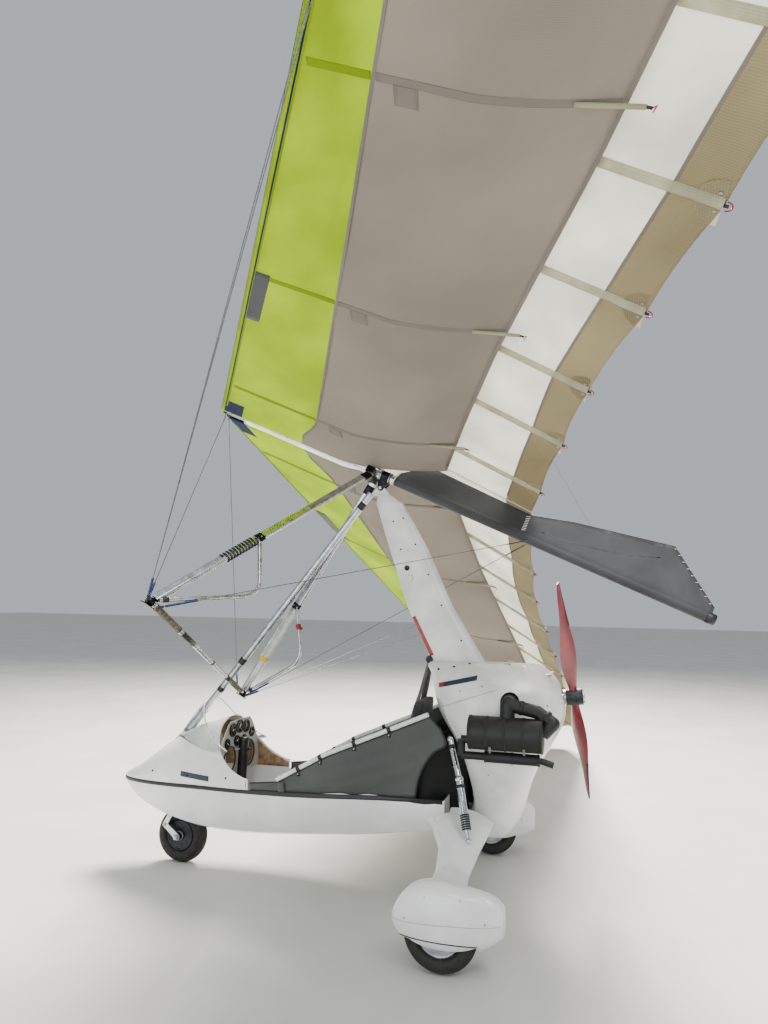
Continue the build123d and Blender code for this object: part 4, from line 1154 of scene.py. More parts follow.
# Pale rubber lip along the cockpit's rim on the nose cone
RIM = arc_between((1.500, 1.010), (1.428, 0.705), (1.240, 0.600), 40)
RIM_INSET = Vector((0.004, 0, 0))
parts = []
for side in BOTH:
    found = side_path(cone, [(x + RIM_INSET.x, z) for x, z in RIM], side)
    lip = [p + n * 0.0005 - RIM_INSET for p, n in found]
    parts.append(tube("lip", lip, 0.0065, white_paint, 8))
joined("cockpit_rim", parts, "trike")

# Edge of the windscreen, polished and pale
screen = surface("windscreen")
SCREEN_EDGE = arc_between((1.664, 1.022), (1.560, 0.850), (1.400, 0.745), 40)
parts = []
for side in BOTH:
    found = side_path(screen, [(x + 0.003, z) for x, z in SCREEN_EDGE], side)
    parts.append(tube("edge", [p for p, _ in found], 0.0032, white_paint, 8))
joined("windscreen_edge", parts, "trike")

# Instruments
PANEL_X = 1.455
GAUGES = [
    (0.100, 0.838, 0.037),
    (0.014, 0.848, 0.037),
    (-0.072, 0.838, 0.037),
    (0.165, 0.768, 0.026),
    (0.045, 0.766, 0.029),
    (-0.150, 0.790, 0.028),
    (-0.050, 0.762, 0.024),
]
# A bezel's profile, its radii as shares of the gauge's
BEZEL = [(0.0, 1.12), (0.006, 1.12), (0.009, 1.06), (0.009, 0.92), (0.005, 0.88), (0.003, 0.86)]
SWITCH = [(0, 0.008), (0.004, 0.007), (0.005, 0.003), (0.018, 0.0042)]
parts = []
aft = Vector((-1, 0, 0))
for y, z, r in GAUGES:
    at = on_trike(PANEL_X, y, z)
    parts.append(turned("bezel", at, aft, [(a, r * b) for a, b in BEZEL], black_anodised, 40))
    parts.append(turned("face", at, aft, [(0.0005, r * 0.9), (0.0045, r * 0.9)], gauge_face, 40))
    hand = Vector((0, math.cos(2.2 + y * 9), math.sin(2.2 + y * 9)))
    tip = at + aft * 0.0056
    line = [tip - hand * r * 0.2, tip + hand * r * 0.7]
    parts.append(tube("hand", line, 0.0014, white_paint, 6, [0.002, 0.0008]))
    ticks = []
    for k in range(11):
        a = math.radians(-45 + 27 * k)
        out = Vector((0, math.cos(a), math.sin(a)))
        ticks.append((at + aft * 0.0046 + out * r * 0.78, aft))
    parts.append(fasteners("ticks", ticks, 0.0016, 0.0006, white_paint, 6))
for y in (-0.125, 0.125):
    well = []
    for k in range(41):
        a = 2 * math.pi * k / 40
        well.append(on_trike(PANEL_X - 0.001, y + 0.070 * math.cos(a), 0.665 + 0.078 * math.sin(a)))
    parts.append(tube("well_rim", well, 0.0055, black_tape, 8))
for k in range(4):
    at = on_trike(PANEL_X, -0.02 + 0.022 * k, 0.715)
    parts.append(turned("switch", at, aft, SWITCH, stainless, 14))
joined("instruments", parts, "trike")

# Tan liner inside the nose, seen through the foot wells and past the rim
rim_by_height = [(z, x) for x, z in RIM]
parts = []
for side in BOTH:
    index, verts, faces = {}, [], []
    for i in range(19):
        for k in range(13):
            z = 0.53 + 0.33 * k / 12
            start = height_at(rim_by_height, z) + 0.004
            middle = on_trike(start + (1.68 - start) * i / 18, 0, z)
            found = drop(cone, middle, Vector((0, side, 0)))
            if found:
                index[i, k] = len(verts)
                verts.append(found[0] - Vector((0, side * 0.0015, 0)))
    for i in range(18):
        for k in range(12):
            keys = ((i, k), (i + 1, k), (i + 1, k + 1), (i, k + 1))
            if all(key in index for key in keys):
                quad = tuple(index[key] for key in keys)
                faces.append(quad if side > 0 else quad[::-1])
    uvs = [(p.x, p.z) for p in verts]
    parts.append(thicken(mesh_piece("liner", verts, faces, [laminate], None, uvs), 0.001, 1.0))
joined("nose_liner", parts, "trike")

# Control pillar between the legs, with its throttle
pillar = [on_trike(1.435, 0, 0.43), on_trike(1.432, 0, 0.60), on_trike(1.425, 0, 0.78)]
lever = [on_trike(1.40, 0.02, 0.70), on_trike(1.36, 0.06, 0.73), on_trike(1.33, 0.10, 0.735)]
parts = [
    tube("pillar", curve_through(pillar, 6), 0.030, powder_black, 20),
    tube("throttle", lever, 0.007, powder_black, 10),
]
joined("control_pillar", parts, "trike")


# Seats
def pad(name, quad, half_width, soft, channels, material, count=18):
    """A stuffed pad: a rounded box with sewn channels, bent to a side outline of four points."""
    verts, faces, uvs, index = [], [], [], {}
    length = math.dist(quad[0], quad[3]) / 2
    depth = math.dist(quad[0], quad[1]) / 2
    size = (length, half_width, depth)
    r = min(soft, depth * 0.95)

    def place(a, b, c):
        """Index of the vertex for a point of a cube's surface, made the first time."""
        key = (round(a, 4), round(b, 4), round(c, 4))
        if key in index:
            return index[key]
        core = [max(-(s - r), min(s - r, value * s)) for value, s in zip((a, b, c), size)]
        off = Vector([value * s - inner for value, s, inner in zip((a, b, c), size, core)])
        local = Vector(core) + off.normalized() * r
        if c > 0.99:
            groove = abs(math.sin(math.pi * channels * (a + 1) / 2)) ** 0.45
            local.z -= 0.010 * (1 - groove) * smooth_step(1.0, 0.8, abs(b))
        u, w = local.x / length * 0.5 + 0.5, local.z / depth * 0.5 + 0.5
        x = [(quad[0][i] * (1 - u) + quad[3][i] * u) * (1 - w) for i in (0, 1)]
        x = [x[i] + (quad[1][i] * (1 - u) + quad[2][i] * u) * w for i in (0, 1)]
        index[key] = len(verts)
        verts.append(on_trike(x[0], local.y, x[1]))
        uvs.append((local.x + local.z, local.y))
        return index[key]

    steps = [-1 + 2 * i / count for i in range(count + 1)]
    for axis in range(3):
        for sign in (-1.0, 1.0):
            for i in range(count):
                for j in range(count):
                    corners = []
                    for p, q in ((i, j), (i + 1, j), (i + 1, j + 1), (i, j + 1)):
                        abc = [0.0, 0.0, 0.0]
                        abc[axis] = sign
                        abc[(axis + 1) % 3] = steps[p]
                        abc[(axis + 2) % 3] = steps[q]
                        corners.append(place(*abc))
                    faces.append(tuple(corners))
    return outward(mesh_piece(name, verts, faces, [material], None, uvs))


# Each pad's side outline, cushion first and then back, with its number of sewn channels
SEAT_PADS = {
    "seat_front": [
        ([(1.078, 0.430), (1.078, 0.498), (0.770, 0.494), (0.700, 0.430)], 4),
        ([(0.694, 0.434), (0.756, 0.500), (0.642, 0.798), (0.577, 0.788)], 4),
    ],
    "seat_rear": [
        ([(0.558, 0.562), (0.558, 0.638), (0.378, 0.638), (0.310, 0.562)], 3),
        ([(0.304, 0.566), (0.366, 0.644), (0.300, 1.078), (0.242, 1.078)], 5),
    ],
}
for seat, pads in SEAT_PADS.items():
    parts = [pad("pad", quad, 0.149, 0.026, channels, seat_cloth) for quad, channels in pads]
    cushion = joined(f"{seat}_padded", parts, "trike")
    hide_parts(seat)

# Fabric side panels
PANEL_TOP = [
    (0.084, 0.885),
    (0.120, 0.970),
    (0.176, 1.020),
    (0.760, 0.769),
    (1.050, 0.609),
    (1.230, 0.588),
]
PANEL_LOW = [
    (0.084, 0.884),
    (0.150, 0.838),
    (0.200, 0.770),
    (0.235, 0.690),
    (0.250, 0.596),
    (0.410, 0.582),
    (1.230, 0.540),
]
RAIL = [(0.1812, 1.0338), (0.7658, 0.7837), (1.0564, 0.6233)]
RAIL_Y = 0.290
CLIP_XS = (0.930, 0.800, 0.600, 0.400)
for side_name, side in SIDES:
    out_way = Vector((0, side, 0))
    xs = stations_of([PANEL_TOP, PANEL_LOW], 0.016)
    verts, uvs = [], []
    rows = 22
    for x in xs:
        low, top = height_at(PANEL_LOW, x), height_at(PANEL_TOP, x)
        for k in range(rows + 1):
            t = k / rows
            z = low + (top - low) * t
            free = math.sin(math.pi * min(t * 1.1, 1.0)) * smooth_step(0.084, 0.30, x)
            slack = 0.0045 * math.sin(9.0 * x + 3.0 * z) * free
            pulls = 0.0016 * math.sin(70.0 * (x * 0.35 + z)) * free
            tuck = -0.006 * smooth_step(0.25, 0.0, t) * smooth_step(0.22, 0.30, x)
            verts.append(on_trike(x, side * (RAIL_Y + slack + pulls + tuck), z))
            uvs.append((x, z))
    faces = quads(len(xs), rows + 1, flip=side < 0)
    cloth = mesh_piece(f"side_cloth_{side_name}", verts, faces, [side_cloth], None, uvs)
    thicken(cloth, 0.0014, 0.0)
    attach(cloth, "trike")
    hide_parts(f"side_panel_{side_name}")
    # dark piping round the cloth, its strap and the rail's clips
    hem = densify([(x, side * RAIL_Y, z) for x, z in PANEL_TOP[1:]], 0.03)
    rear_hem = [on_trike(x, side * RAIL_Y, z) for x, z in (*PANEL_LOW[4::-1], (0.120, 0.970))]
    strap = [
        (1.035, side * (RAIL_Y + 0.010), 0.612),
        (1.028, side * (RAIL_Y + 0.012), 0.590),
        (1.024, side * (RAIL_Y + 0.011), 0.560),
    ]
    found = [(on_trike(*p), out_way) for p in densify(strap, 0.012)]
    parts = [
        tube("hem", [on_trike(*p) for p in hem], 0.0040, black_tape, 6),
        tube("hem", curve_through(rear_hem, 4), 0.0060, black_tape, 6),
        band("strap", found, 0.019, 0.0018, strap_web),
    ]
    for x in CLIP_XS:
        slope = Vector((1.0, 0.0, -0.46 if x < 0.7658 else -0.552)).normalized()
        at = on_trike(x, side * RAIL_Y, height_at(RAIL, x))
        clip = at - slope * 0.011, at + slope * 0.011
        parts.append(sleeve("clip", *clip, 0.0150, powder_black))
        tab = [(at + Vector((0, side * 0.002, dz)), out_way) for dz in (-0.012, -0.040)]
        parts.append(band("tab", tab, 0.011, 0.0032, powder_black))
        stud = [(at + Vector((0, side * 0.0055, -0.030)), out_way)]
        parts.append(fasteners("stud", stud, 0.0045, 0.003, stainless, 12))
    trim = joined(f"side_cloth_trim_{side_name}", parts, "trike")

# Cowling's crease with a grey band of painted shade along it, and its screws, label and clips
CREASE_SHADE_LINE = [(0.185, 1.048), (0.060, 1.092), (-0.060, 1.136), (-0.180, 1.177)]
COWL_SCREWS = [
    (-0.10, 1.19),
    (0.02, 1.16),
    (0.16, 1.10),
    (0.10, 0.93),
    (-0.02, 0.84),
    (-0.14, 0.74),
    (-0.40, 0.95),
    (-0.44, 1.10),
]
JOINT_SCREWS = [(0.160, 1.263), (0.073, 1.279), (-0.010, 1.298)]
parts = []
for side in BOTH:
    # grey band along the crease: painted shade where the bulged top turns to the flatter side
    crease = side_path(cowl, densify(CREASE_SHADE_LINE, 0.012), side)
    parts.append(band("crease", crease, 0.0030, 0.0012, panel_grey))
    spots = side_path(cowl, COWL_SCREWS, side)
    parts.append(fasteners("screws", spots, 0.0055, 0.003, stainless, 14))
    # the label's ends as shares of its length, its red tab first
    for name, front, rear, material in (
        ("tab", 0.0, 0.13, signal_red),
        ("label", 0.135, 1.0, slate_film),
    ):
        top = [(0.150 - 0.220 * t, 1.192 + 0.052 * t) for t in (front, rear)]
        low = [(x, z - 0.025) for x, z in reversed(top)]
        parts.append(plate_on(name, cowl, [*top, *low], side, material))
    spots = side_path(cowl, JOINT_SCREWS, side)
    parts.append(fasteners("joint_screws", spots, 0.0080, 0.003, black_anodised, 14))
for spot in ((-0.22, 1.30), (-0.44, 1.25)):
    for side in BOTH:
        for at, way in side_path(cowl, [spot], side):
            clip = [at + Vector((dx, 0, 0)) + way * 0.003 for dx in (-0.018, 0.018)]
            parts.append(sleeve("clip", *clip, 0.006, stainless, 12))
joined("cowling_trim", parts, "trike")

# Black sheet behind the rear seat, bowed in to meet the cowling's front: painted shade where the
# pod's inside lies dark
parts = []
for side in BOTH:
    verts, uvs = [], []
    for i in range(25):
        x = 0.46 * i / 24
        y = 0.235 - 0.155 * min(max((0.20 - x) / 0.20, 0.0), 1.0)
        low, top = 0.50, 0.94 - 0.30 * smooth_step(0.20, 0.46, x)
        for k in range(9):
            z = low + (top - low) * k / 8
            verts.append(on_trike(x, side * y, z))
            uvs.append((x, z))
    liner = mesh_piece("liner", verts, quads(25, 9, flip=side < 0), [shade_black], None, uvs)
    parts.append(thicken(liner, 0.002, -1.0))
joined("rear_shade_sheet", parts, "trike")

# Shoulder straps of the rear harness, from the pylon's foot to the seat
HANGING = [
    (0.238, 0.014, 1.312),
    (0.256, 0.034, 1.230),
    (0.284, 0.066, 1.110),
    (0.316, 0.084, 1.010),
    (0.340, 0.086, 0.880),
]
parts = []
for side in BOTH:
    web = curve_through([on_trike(x, side * y, z) for x, y, z in HANGING], 6)
    facing = Vector((0.75, side * 0.65, 0.15)).normalized()
    parts.append(band("web", [(p, facing) for p in web], 0.020, 0.0018, strap_web))
knot = [on_trike(0.238, y, 1.306) for y in (-0.030, 0.030)]
parts.append(sleeve("knot", *knot, 0.022, seat_cloth, 18))
joined("rear_harness", parts, "trike")

# Pylon's red strip, rivets, grommet and blister
STRIP = [(0.222, 1.330), (0.280, 1.440), (0.336, 1.552)]
RIVETS = [
    (0.05, 1.42),
    (0.17, 1.62),
    (0.25, 1.80),
    (0.33, 1.98),
    (0.41, 2.14),
    (0.47, 2.12),
    (0.42, 1.95),
]
GROMMET = [(0.0004, 0.017), (0.003, 0.0165), (0.0032, 0.0125), (0.0012, 0.0115)]
BLISTER = [(-0.002, 0.024), (0.004, 0.023), (0.008, 0.019), (0.0105, 0.012), (0.0115, 0.003)]
parts = []
for side in BOTH:
    strip = side_path(fairing, densify(STRIP, 0.015), side)
    parts.append(band("strip", strip, 0.014, 0.0018, signal_red))
    heads = side_path(fairing, RIVETS, side)
    parts.append(fasteners("rivets", heads, 0.0055, 0.003, black_anodised, 12))
    for at, way in side_path(fairing, [(0.379, 1.838)], side):
        parts.append(turned("grommet", at, way, GROMMET, black_tape, 24))
    for at, way in side_path(fairing, [(0.362, 1.778)], side):
        parts.append(turned("blister", at, way, BLISTER, gelcoat_dusty, 32))
joined("pylon_trim", parts, "trike")

# Bands, end caps, springs and clamps of the silencer and its after-silencer
DRUM_END = [(0, 0.0835), (0.004, 0.080), (0.007, 0.062), (0.008, 0.030), (0.008, 0.006)]
CLAMPS = [
    ((-0.456, 0.358, 1.058), (-0.440, 0.353, 1.068)),
    ((-0.330, 0.3426, 1.102), (-0.312, 0.3433, 1.106)),
]
parts = []
for x in (-0.062, -0.150, -0.243, -0.336, -0.424):
    at = on_trike(x, 0.372, 0.974)
    parts.append(raised("drum_band", at, aft, 0.006, 0.001, 0.0835, 0.0865, stove_black, 48))
for x, way in ((-0.058, -aft), (-0.428, aft)):
    at = on_trike(x, 0.372, 0.974)
    parts.append(turned("drum_end", at - way * 0.001, way, DRUM_END, stove_black))
for x in (-0.140, -0.275, -0.405):
    at = on_trike(x, 0.372, 0.856)
    parts.append(raised("small_band", at, aft, 0.005, 0.001, 0.028, 0.0305, stove_black, 32))
for x in (-0.170, -0.340):
    hooks = on_trike(x, 0.414, 0.885), on_trike(x, 0.440, 0.919)
    parts.append(wound("spring", *hooks, 0.0055, 9, 0.0011, stainless))
for a, b in CLAMPS:
    parts.append(sleeve("clamp", on_trike(*a), on_trike(*b), 0.0372, stove_black, 32))
joined("exhaust_bands", parts, "trike")

# Propeller
LEAN = math.radians(5.9)
TURN = math.radians(29.0)
THRUST = Vector((-math.cos(LEAN), 0, math.sin(LEAN)))
DISC_TOP = Vector((math.sin(LEAN), 0, math.cos(LEAN)))
DISC_UP = Vector((0, 1, 0)) * math.sin(TURN) + DISC_TOP * math.cos(TURN)
PROP = on_trike(-0.573, 0, 1.136)
# Radius, chord, thickness and pitch in degrees of the blades, and where their guards begin
BLADE = [
    (0.260, 0.142, 0.020, 34.0),
    (0.420, 0.122, 0.014, 24.0),
    (0.580, 0.082, 0.009, 18.0),
    (0.695, 0.038, 0.0052, 15.0),
]
GUARD_FROM = 0.40
# A guard's section, as shares of the blade's chord and thickness
GUARD_SECTION = [(0.40, 0.60), (0.505, 0.20), (0.515, 0.0), (0.505, -0.20), (0.40, -0.60)]
HUB_PLATE = [(0.0002, 0.047), (0.004, 0.047), (0.005, 0.0455), (0.005, 0.017), (0.0002, 0.016)]
HUB_RING = [(-0.004, 0.0465), (-0.003, 0.0475), (-0.001, 0.0475), (0, 0.0465)]
HUB_NUT = [(0, 0.016), (0.012, 0.016), (0.014, 0.013), (0.014, 0.004)]
stations = []
for a, b in zip(BLADE, BLADE[1:]):
    stations += [[p + (q - p) * i / 8 for p, q in zip(a, b)] for i in range(8)]
stations = [s for s in (*stations, BLADE[-1]) if s[0] > GUARD_FROM]
parts = []
for way in (DISC_UP, -DISC_UP):
    verts = []
    for radius, chord, thick, pitch in stations:
        pitch = math.radians(pitch)
        chord_way = way.cross(THRUST) * math.cos(pitch) + THRUST * math.sin(pitch)
        normal = chord_way.cross(way).normalized()
        for c, t in GUARD_SECTION:
            verts.append(PROP + way * radius + chord_way * (chord * c) + normal * (thick * t))
    faces = pipe_faces(len(stations), len(GUARD_SECTION))
    parts.append(outward(mesh_piece("guard", verts, faces, [blade_guard])))
parts.append(turned("plate", PROP + THRUST * 0.042, THRUST, HUB_PLATE, rim_paint, 40))
parts.append(turned("ring", PROP - THRUST * 0.042, -THRUST, HUB_RING, rim_paint, 40))
bolts = ring(PROP + THRUST * 0.048, DISC_UP, THRUST.cross(DISC_UP), 0.034, 6)
parts.append(fasteners("hub_bolts", [(p, THRUST) for p in bolts], 0.0075, 0.007, stainless, 6))
parts.append(turned("nut", PROP + THRUST * 0.044, THRUST, HUB_NUT, stainless, 6))
joined("propeller_fittings", parts, "propeller")


# Wheels
def grooved_tyre(name, centre, rim_r, tyre_r, grooves, body, node):
    """A tyre with grooves round its tread, and the nose wheel's with cut shoulders."""
    half, crown, bead = 0.050, 0.026, 0.029
    edge = (half - 0.006, tyre_r - crown)
    profile = arc_between((bead, rim_r), (half, (rim_r + tyre_r) / 2), edge, 8)
    wall = profile[:-1]
    profile += arc_between(edge, (0.0, tyre_r), (-edge[0], edge[1]), 36)[1:]
    profile += [(-a, r) for a, r in reversed(wall)]
    verts = []
    for s in range(96):
        angle = 2 * math.pi * s / 96
        for a, r in profile:
            cuts = [smooth_step(0.0034, 0.0016, abs(abs(a) - mark)) for mark in grooves]
            cut = 0.0035 * max(cuts)
            if body == "nose_wheel" and abs(a) > 0.024 and r > tyre_r - crown * 1.1 and s % 4 == 0:
                cut = 0.004
            out = r - cut
            verts.append(centre + Vector((math.cos(angle) * out, a, math.sin(angle) * out)))
    faces = quads(96, len(profile), closed=True, looped=True)
    tyre = outward(mesh_piece(name, verts, faces, [rubber]))
    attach(tyre, body)
    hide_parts(node)


# Tag, centre, radius of rim and tyre, grooves, body and half the hub's width
WHEELS = [
    ("left", on_trike(0, 0.796, 0.170), 0.098, 0.170, (0.007, 0.021), "main_wheel_left", 0.050),
    ("right", on_trike(0, -0.796, 0.170), 0.098, 0.170, (0.007, 0.021), "main_wheel_right", 0.050),
    ("nose", on_trike(1.824, 0, 0.165), 0.092, 0.165, (0.0, 0.014), "nose_wheel", 0.052),
]
# A rim lip's profile, with its radii measured in from the rim
RIM_LIP = [
    (0.0335, 0.0148),
    (0.0375, 0.0125),
    (0.0392, 0.006),
    (0.0375, 0.0005),
    (0.036, 0.002),
    (0.034, 0.012),
]
for tag, centre, rim_r, tyre_r, grooves, body, hub_half in WHEELS:
    grooved_tyre(f"tread_{tag}", centre, rim_r, tyre_r, grooves, body, f"tyre_{tag}")
    paint = rim_paint if tag == "nose" else rim_silver
    lip = [(a, rim_r - inset) for a, inset in RIM_LIP]
    parts = []
    for sign in BOTH:
        way = Vector((0, sign, 0))
        bolts = ring(centre + way * 0.006, Vector((1, 0, 0)), Vector((0, 0, 1)), 0.052, 6)
        heads = [(p, way) for p in bolts]
        parts.append(fasteners("rim_bolts", heads, 0.0065, 0.006, stainless, 6))
        parts.append(turned("lip", centre, way, lip, paint, 64))
        at = centre + way * (hub_half - 0.007)
        parts.append(raised("hub_ring", at, way, 0.005, 0.002, 0.0262, 0.0285, stainless, 32))
    stem = Vector((math.cos(0.6), 0, math.sin(0.6)))
    valve = [centre + stem * r + Vector((0, dy, 0)) for r, dy in ((0.080, 0.006), (0.066, 0.026))]
    parts.append(tube("valve", valve, 0.0038, black_tape, 10))
    joined(f"wheel_bolts_{tag}", parts, body)

# Screws, joint and lip of each spat, and the trim of each spring strut
SPAT_SCREWS = [(0.150, 0.235), (0.06, 0.335), (-0.10, 0.335), (-0.21, 0.255)]
SPAT_SEAM = [(0.214, 0.214), (0.10, 0.225), (-0.05, 0.235), (-0.20, 0.240), (-0.278, 0.250)]
SPAT_LIP = [(0.175 - 0.350 * k / 20, 0.156) for k in range(21)]
for side_name, side in SIDES:
    shell = surface(f"spat_{side_name}")
    outer, inner = (side_path(shell, SPAT_SCREWS, *s) for s in ((side, 1.4), (-side, -0.4)))
    seam = side_path(shell, densify(SPAT_SEAM, 0.014), side, 1.4)
    parts = [
        fasteners("screws", outer, 0.005, 0.0028, stainless, 14),
        fasteners("screws", inner, 0.005, 0.0028, stainless, 14),
        band("seam", seam, 0.0016, 0.0010, panel_grey),
        band("lip", side_path(shell, SPAT_LIP, side, 1.4), 0.0028, 0.0018, black_tape),
    ]
    joined(f"spat_trim_{side_name}", parts, "trike")

    # rubber boot, collars and ring of the spring strut
    eye = on_trike(0.066, side * 0.262, 0.905)
    middle = on_trike(0.0, side * 0.352, 0.727)
    foot = on_trike(-0.072, side * 0.478, 0.4675)
    run = (foot - middle).normalized()
    top_run = (middle - eye).normalized()
    body_end = middle + (foot - middle) * 0.85
    parts = []
    for k in range(7):
        at = body_end - run * (0.010 + 0.011 * k)
        parts.append(raised("boot", at, run, 0.005, 0.003, 0.0195, 0.0245, rubber, 28))
    for name, base, along, low, high, radius, material in (
        ("collar", eye, top_run, 0.030, 0.052, 0.0185, powder_black),
        ("collar", middle, run, 0.030, 0.046, 0.0222, powder_black),
        ("ring", middle, top_run, -0.070, -0.062, 0.0178, stainless),
    ):
        parts.append(sleeve(name, base + along * low, base + along * high, radius, material, 28))
    joined(f"strut_trim_{side_name}", parts, "trike")

# Fork bolts, and the axle's washers and nuts
FORK_BOLT = [(0, 0.009), (0.006, 0.009), (0.0075, 0.007), (0.0075, 0.002)]
WASHER = [(0, 0.0165), (0.002, 0.0165), (0.002, 0.0104), (0, 0.0104)]
AXLE_NUT = [(0, 0.0155), (0.009, 0.0155), (0.0105, 0.0135), (0.0105, 0.0104)]
parts = []
for side in BOTH:
    way = Vector((0, side, 0))
    for x, z in ((1.850, 0.343), (1.912, 0.232)):
        parts.append(turned("bolt", on_trike(x, side * 0.074, z), way, FORK_BOLT, stainless, 6))
    at = on_trike(1.824, side * 0.0742, 0.165)
    parts.append(turned("washer", at, way, WASHER, stainless, 28))
    parts.append(turned("nut", at + way * 0.002, way, AXLE_NUT, stainless, 6))
joined("fork_bolts", parts, "nose_fork")

# Front strut's tapes and foot
foot, top = on_trike(1.828, 0, 0.784), on_trike(0.625, 0, 2.300)
way = (top - foot).normalized()
parts = []
for x, length in ((1.473, 0.045), (1.613, 0.035), (0.70, 0.05)):
    at = foot + (top - foot) * ((1.828 - x) / 1.203)
    parts.append(sleeve("tape", at, at + way * length, 0.0226, black_tape, 28))
parts.append(sleeve("foot", foot + way * 0.002, foot + way * 0.030, 0.0245, powder_black, 28))
joined("front_strut_tapes", parts, "trike")

# Control frame
BAR_X, BAR_HALF, BAR_DROP = 0.270, 0.785, 1.460
# Bands on the base bar, as shares of its length from the port corner
BAR_BANDS = [
    (0.040, 0.240, 0.0172, grip_tan),
    (0.270, 0.380, 0.0158, black_tape),
    (0.578, 0.590, 0.0160, black_tape),
    (0.760, 0.835, 0.0158, black_tape),
    (0.840, 0.960, 0.0172, grip_tan),
    (0.045, 0.051, 0.0182, black_tape),
    (0.230, 0.236, 0.0182, black_tape),
]
KNOB = [(0, 0.008), (0.010, 0.010), (0.014, 0.008), (0.015, 0.002)]


def bar_corner(side):
    """A corner of the control frame, in the wing's own terms."""
    return Vector((BAR_X, side * BAR_HALF, -BAR_DROP))


def bar_point(fraction):
    """A place on the base bar, from the port corner."""
    return on_wing(BAR_X, BAR_HALF * (1 - 2 * fraction), -BAR_DROP)


def flat_sleeve(name, a, b, chord, thick, material):
    """A sleeve round the flattened tube of the control frame."""
    run = (b - a).normalized()
    long_way = (KEEL - run * run.dot(KEEL)).normalized()
    flat = (chord - thick) / 2
    section = []
    for k in range(32):
        angle = 2 * math.pi * k / 32
        shift = flat if math.cos(angle) >= 0 else -flat
        u, v = shift + thick / 2 * math.cos(angle), thick / 2 * math.sin(angle)
        section.append(long_way * u + run.cross(long_way) * v)
    verts = []
    for base, grow in ((a, 0.97), (a + run * 0.002, 1.0), (b - run * 0.002, 1.0), (b, 0.97)):
        verts += [base + spot * grow for spot in section]
    return outward(mesh_piece(name, verts, pipe_faces(4, 32), [material]))


parts = []
for low, high, radius, material in BAR_BANDS:
    parts.append(sleeve("band", bar_point(low), bar_point(high), radius, material, 24))
for side in BOTH:
    low_end, high_end = on_wing(*bar_corner(side)), on_wing(0.018, side * 0.066, -0.052)
    run = high_end - low_end
    way = run.normalized()
    long_way = (KEEL - way * way.dot(KEEL)).normalized()
    thin_way = way.cross(long_way)
    a, b = high_end - way * 0.075, high_end - way * 0.012
    parts.append(flat_sleeve("head_sleeve", a, b, 0.0535, 0.0285, black_anodised))
    if side > 0:
        a, b = low_end + run * 0.270, low_end + run * 0.405
        parts.append(wound("lace", a, b, 0.0292, 11, 0.0048, black_tape, thin_way, 0.58))
    else:
        a, b = low_end + run * 0.185, low_end + run * 0.400
        parts.append(wound("lace", a, b, 0.0280, 72, 0.0018, white_paint, thin_way, 0.54))
        at = low_end + run * 0.160
        parts.append(flat_sleeve("ring", at, at + way * 0.030, 0.0640, 0.0440, yellow_nylon))
    # clamp that holds the training bar on the upright
    hold = high_end - run * 0.575
    a, b = hold - way * 0.020, hold + way * 0.020
    parts.append(flat_sleeve("clamp", a, b, 0.0560, 0.0310, black_anodised))
    bolts = [(hold + thin_way * 0.0155 + long_way * off, thin_way) for off in (0.014, -0.014)]
    parts.append(fasteners("clamp_bolts", bolts, 0.005, 0.006, stainless, 6))
    # end fitting of the training bar, and the starboard one's red fitting
    start = bar_corner(side) + Vector((-0.030, -side * 0.006, 0.026))
    a, b = on_wing(*start), on_wing(-0.048, side * 0.523, -1.142)
    ends = a + (b - a) * 0.03, a + (b - a) * 0.09
    parts.append(sleeve("bar_end", *ends, 0.0128, black_tape))
    if side < 0:
        at = b + (hold - b) * 0.56
        onward = (hold - b).normalized()
        parts.append(sleeve("red_fitting", at, at + onward * 0.034, 0.0175, signal_red))
        at += onward * 0.017 - KEEL * 0.016
        parts.append(turned("knob", at, -KEEL, KNOB, signal_red, 16))
joined("control_frame_trim", parts, "wing")

# Sleeves pressed on the lower wires, and their thimbles at the corners
EDGE_JOINT = 2.750
parts = []
for side in BOTH:
    corner = bar_corner(side)
    ends = [Vector((1.150, side * 0.014, -0.0308)), Vector((-1.010, side * 0.0208, -0.019))]
    for y in (EDGE_JOINT, EDGE_JOINT + 0.150):
        ends.append(Vector((edge_x(y) - 0.060, side * y, edge_z(y) - 0.040)))
    for n, end in enumerate(ends):
        to_tail = n == 1
        heading = end - corner
        flat = Vector((heading.x, heading.y, 0))
        rise = Vector((0, 0, 0.002 * flat.length / heading.length + 0.0003))
        start = on_wing(*(corner + flat.normalized() * 0.031 + Vector((0, 0, -0.019)) + rise))
        end = on_wing(*(end - rise))
        way = (end - start).normalized()
        for name, base, low, high, radius, material in (
            ("thimble", start, 0.012, 0.045, 0.0058, powder_black),
            ("shrink", start, 0.050, 0.20 if to_tail else 0.145, 0.0058, blue_sleeve),
            ("end_sleeve", end, -0.14, -0.02, 0.0036, powder_black if to_tail else stainless),
        ):
            parts.append(sleeve(name, base + way * low, base + way * high, radius, material, 12))
joined("wire_sleeves", parts, "wing")

# King post's cap and collar
CAP = [(-0.030, 0.0206), (-0.028, 0.0225), (0.000, 0.0225), (0.008, 0.019), (0.011, 0.006)]
parts = [
    turned("cap", on_wing(0, 0, 1.380), LIFT, CAP, black_anodised, 32),
    raised("collar", on_wing(0, 0, 0.46), LIFT, 0.014, 0.002, 0.0206, 0.0235, black_tape, 32),
]
joined("king_post_cap", parts, "wing")

# Under the wing: seams, painted shadows of the batten pockets and patches, and the two blank plates
UNDER_PLATE = [(0.692, 1.030), (0.529, 1.385), (0.444, 1.385), (0.607, 1.030)]


def on_under(x, y, side, off=0.0):
    """A place on the underside of the lower skin, that far below it."""
    return on_wing(x, side * y, lower_z(y, x) - CLOTH - off)


def under_band(name, places, side, half, depth, material):
    """A strip along places (x, y) of the lower skin."""
    found = [(on_under(x, y, side), -LIFT) for x, y in places]
    return band(name, found, half, depth, material)


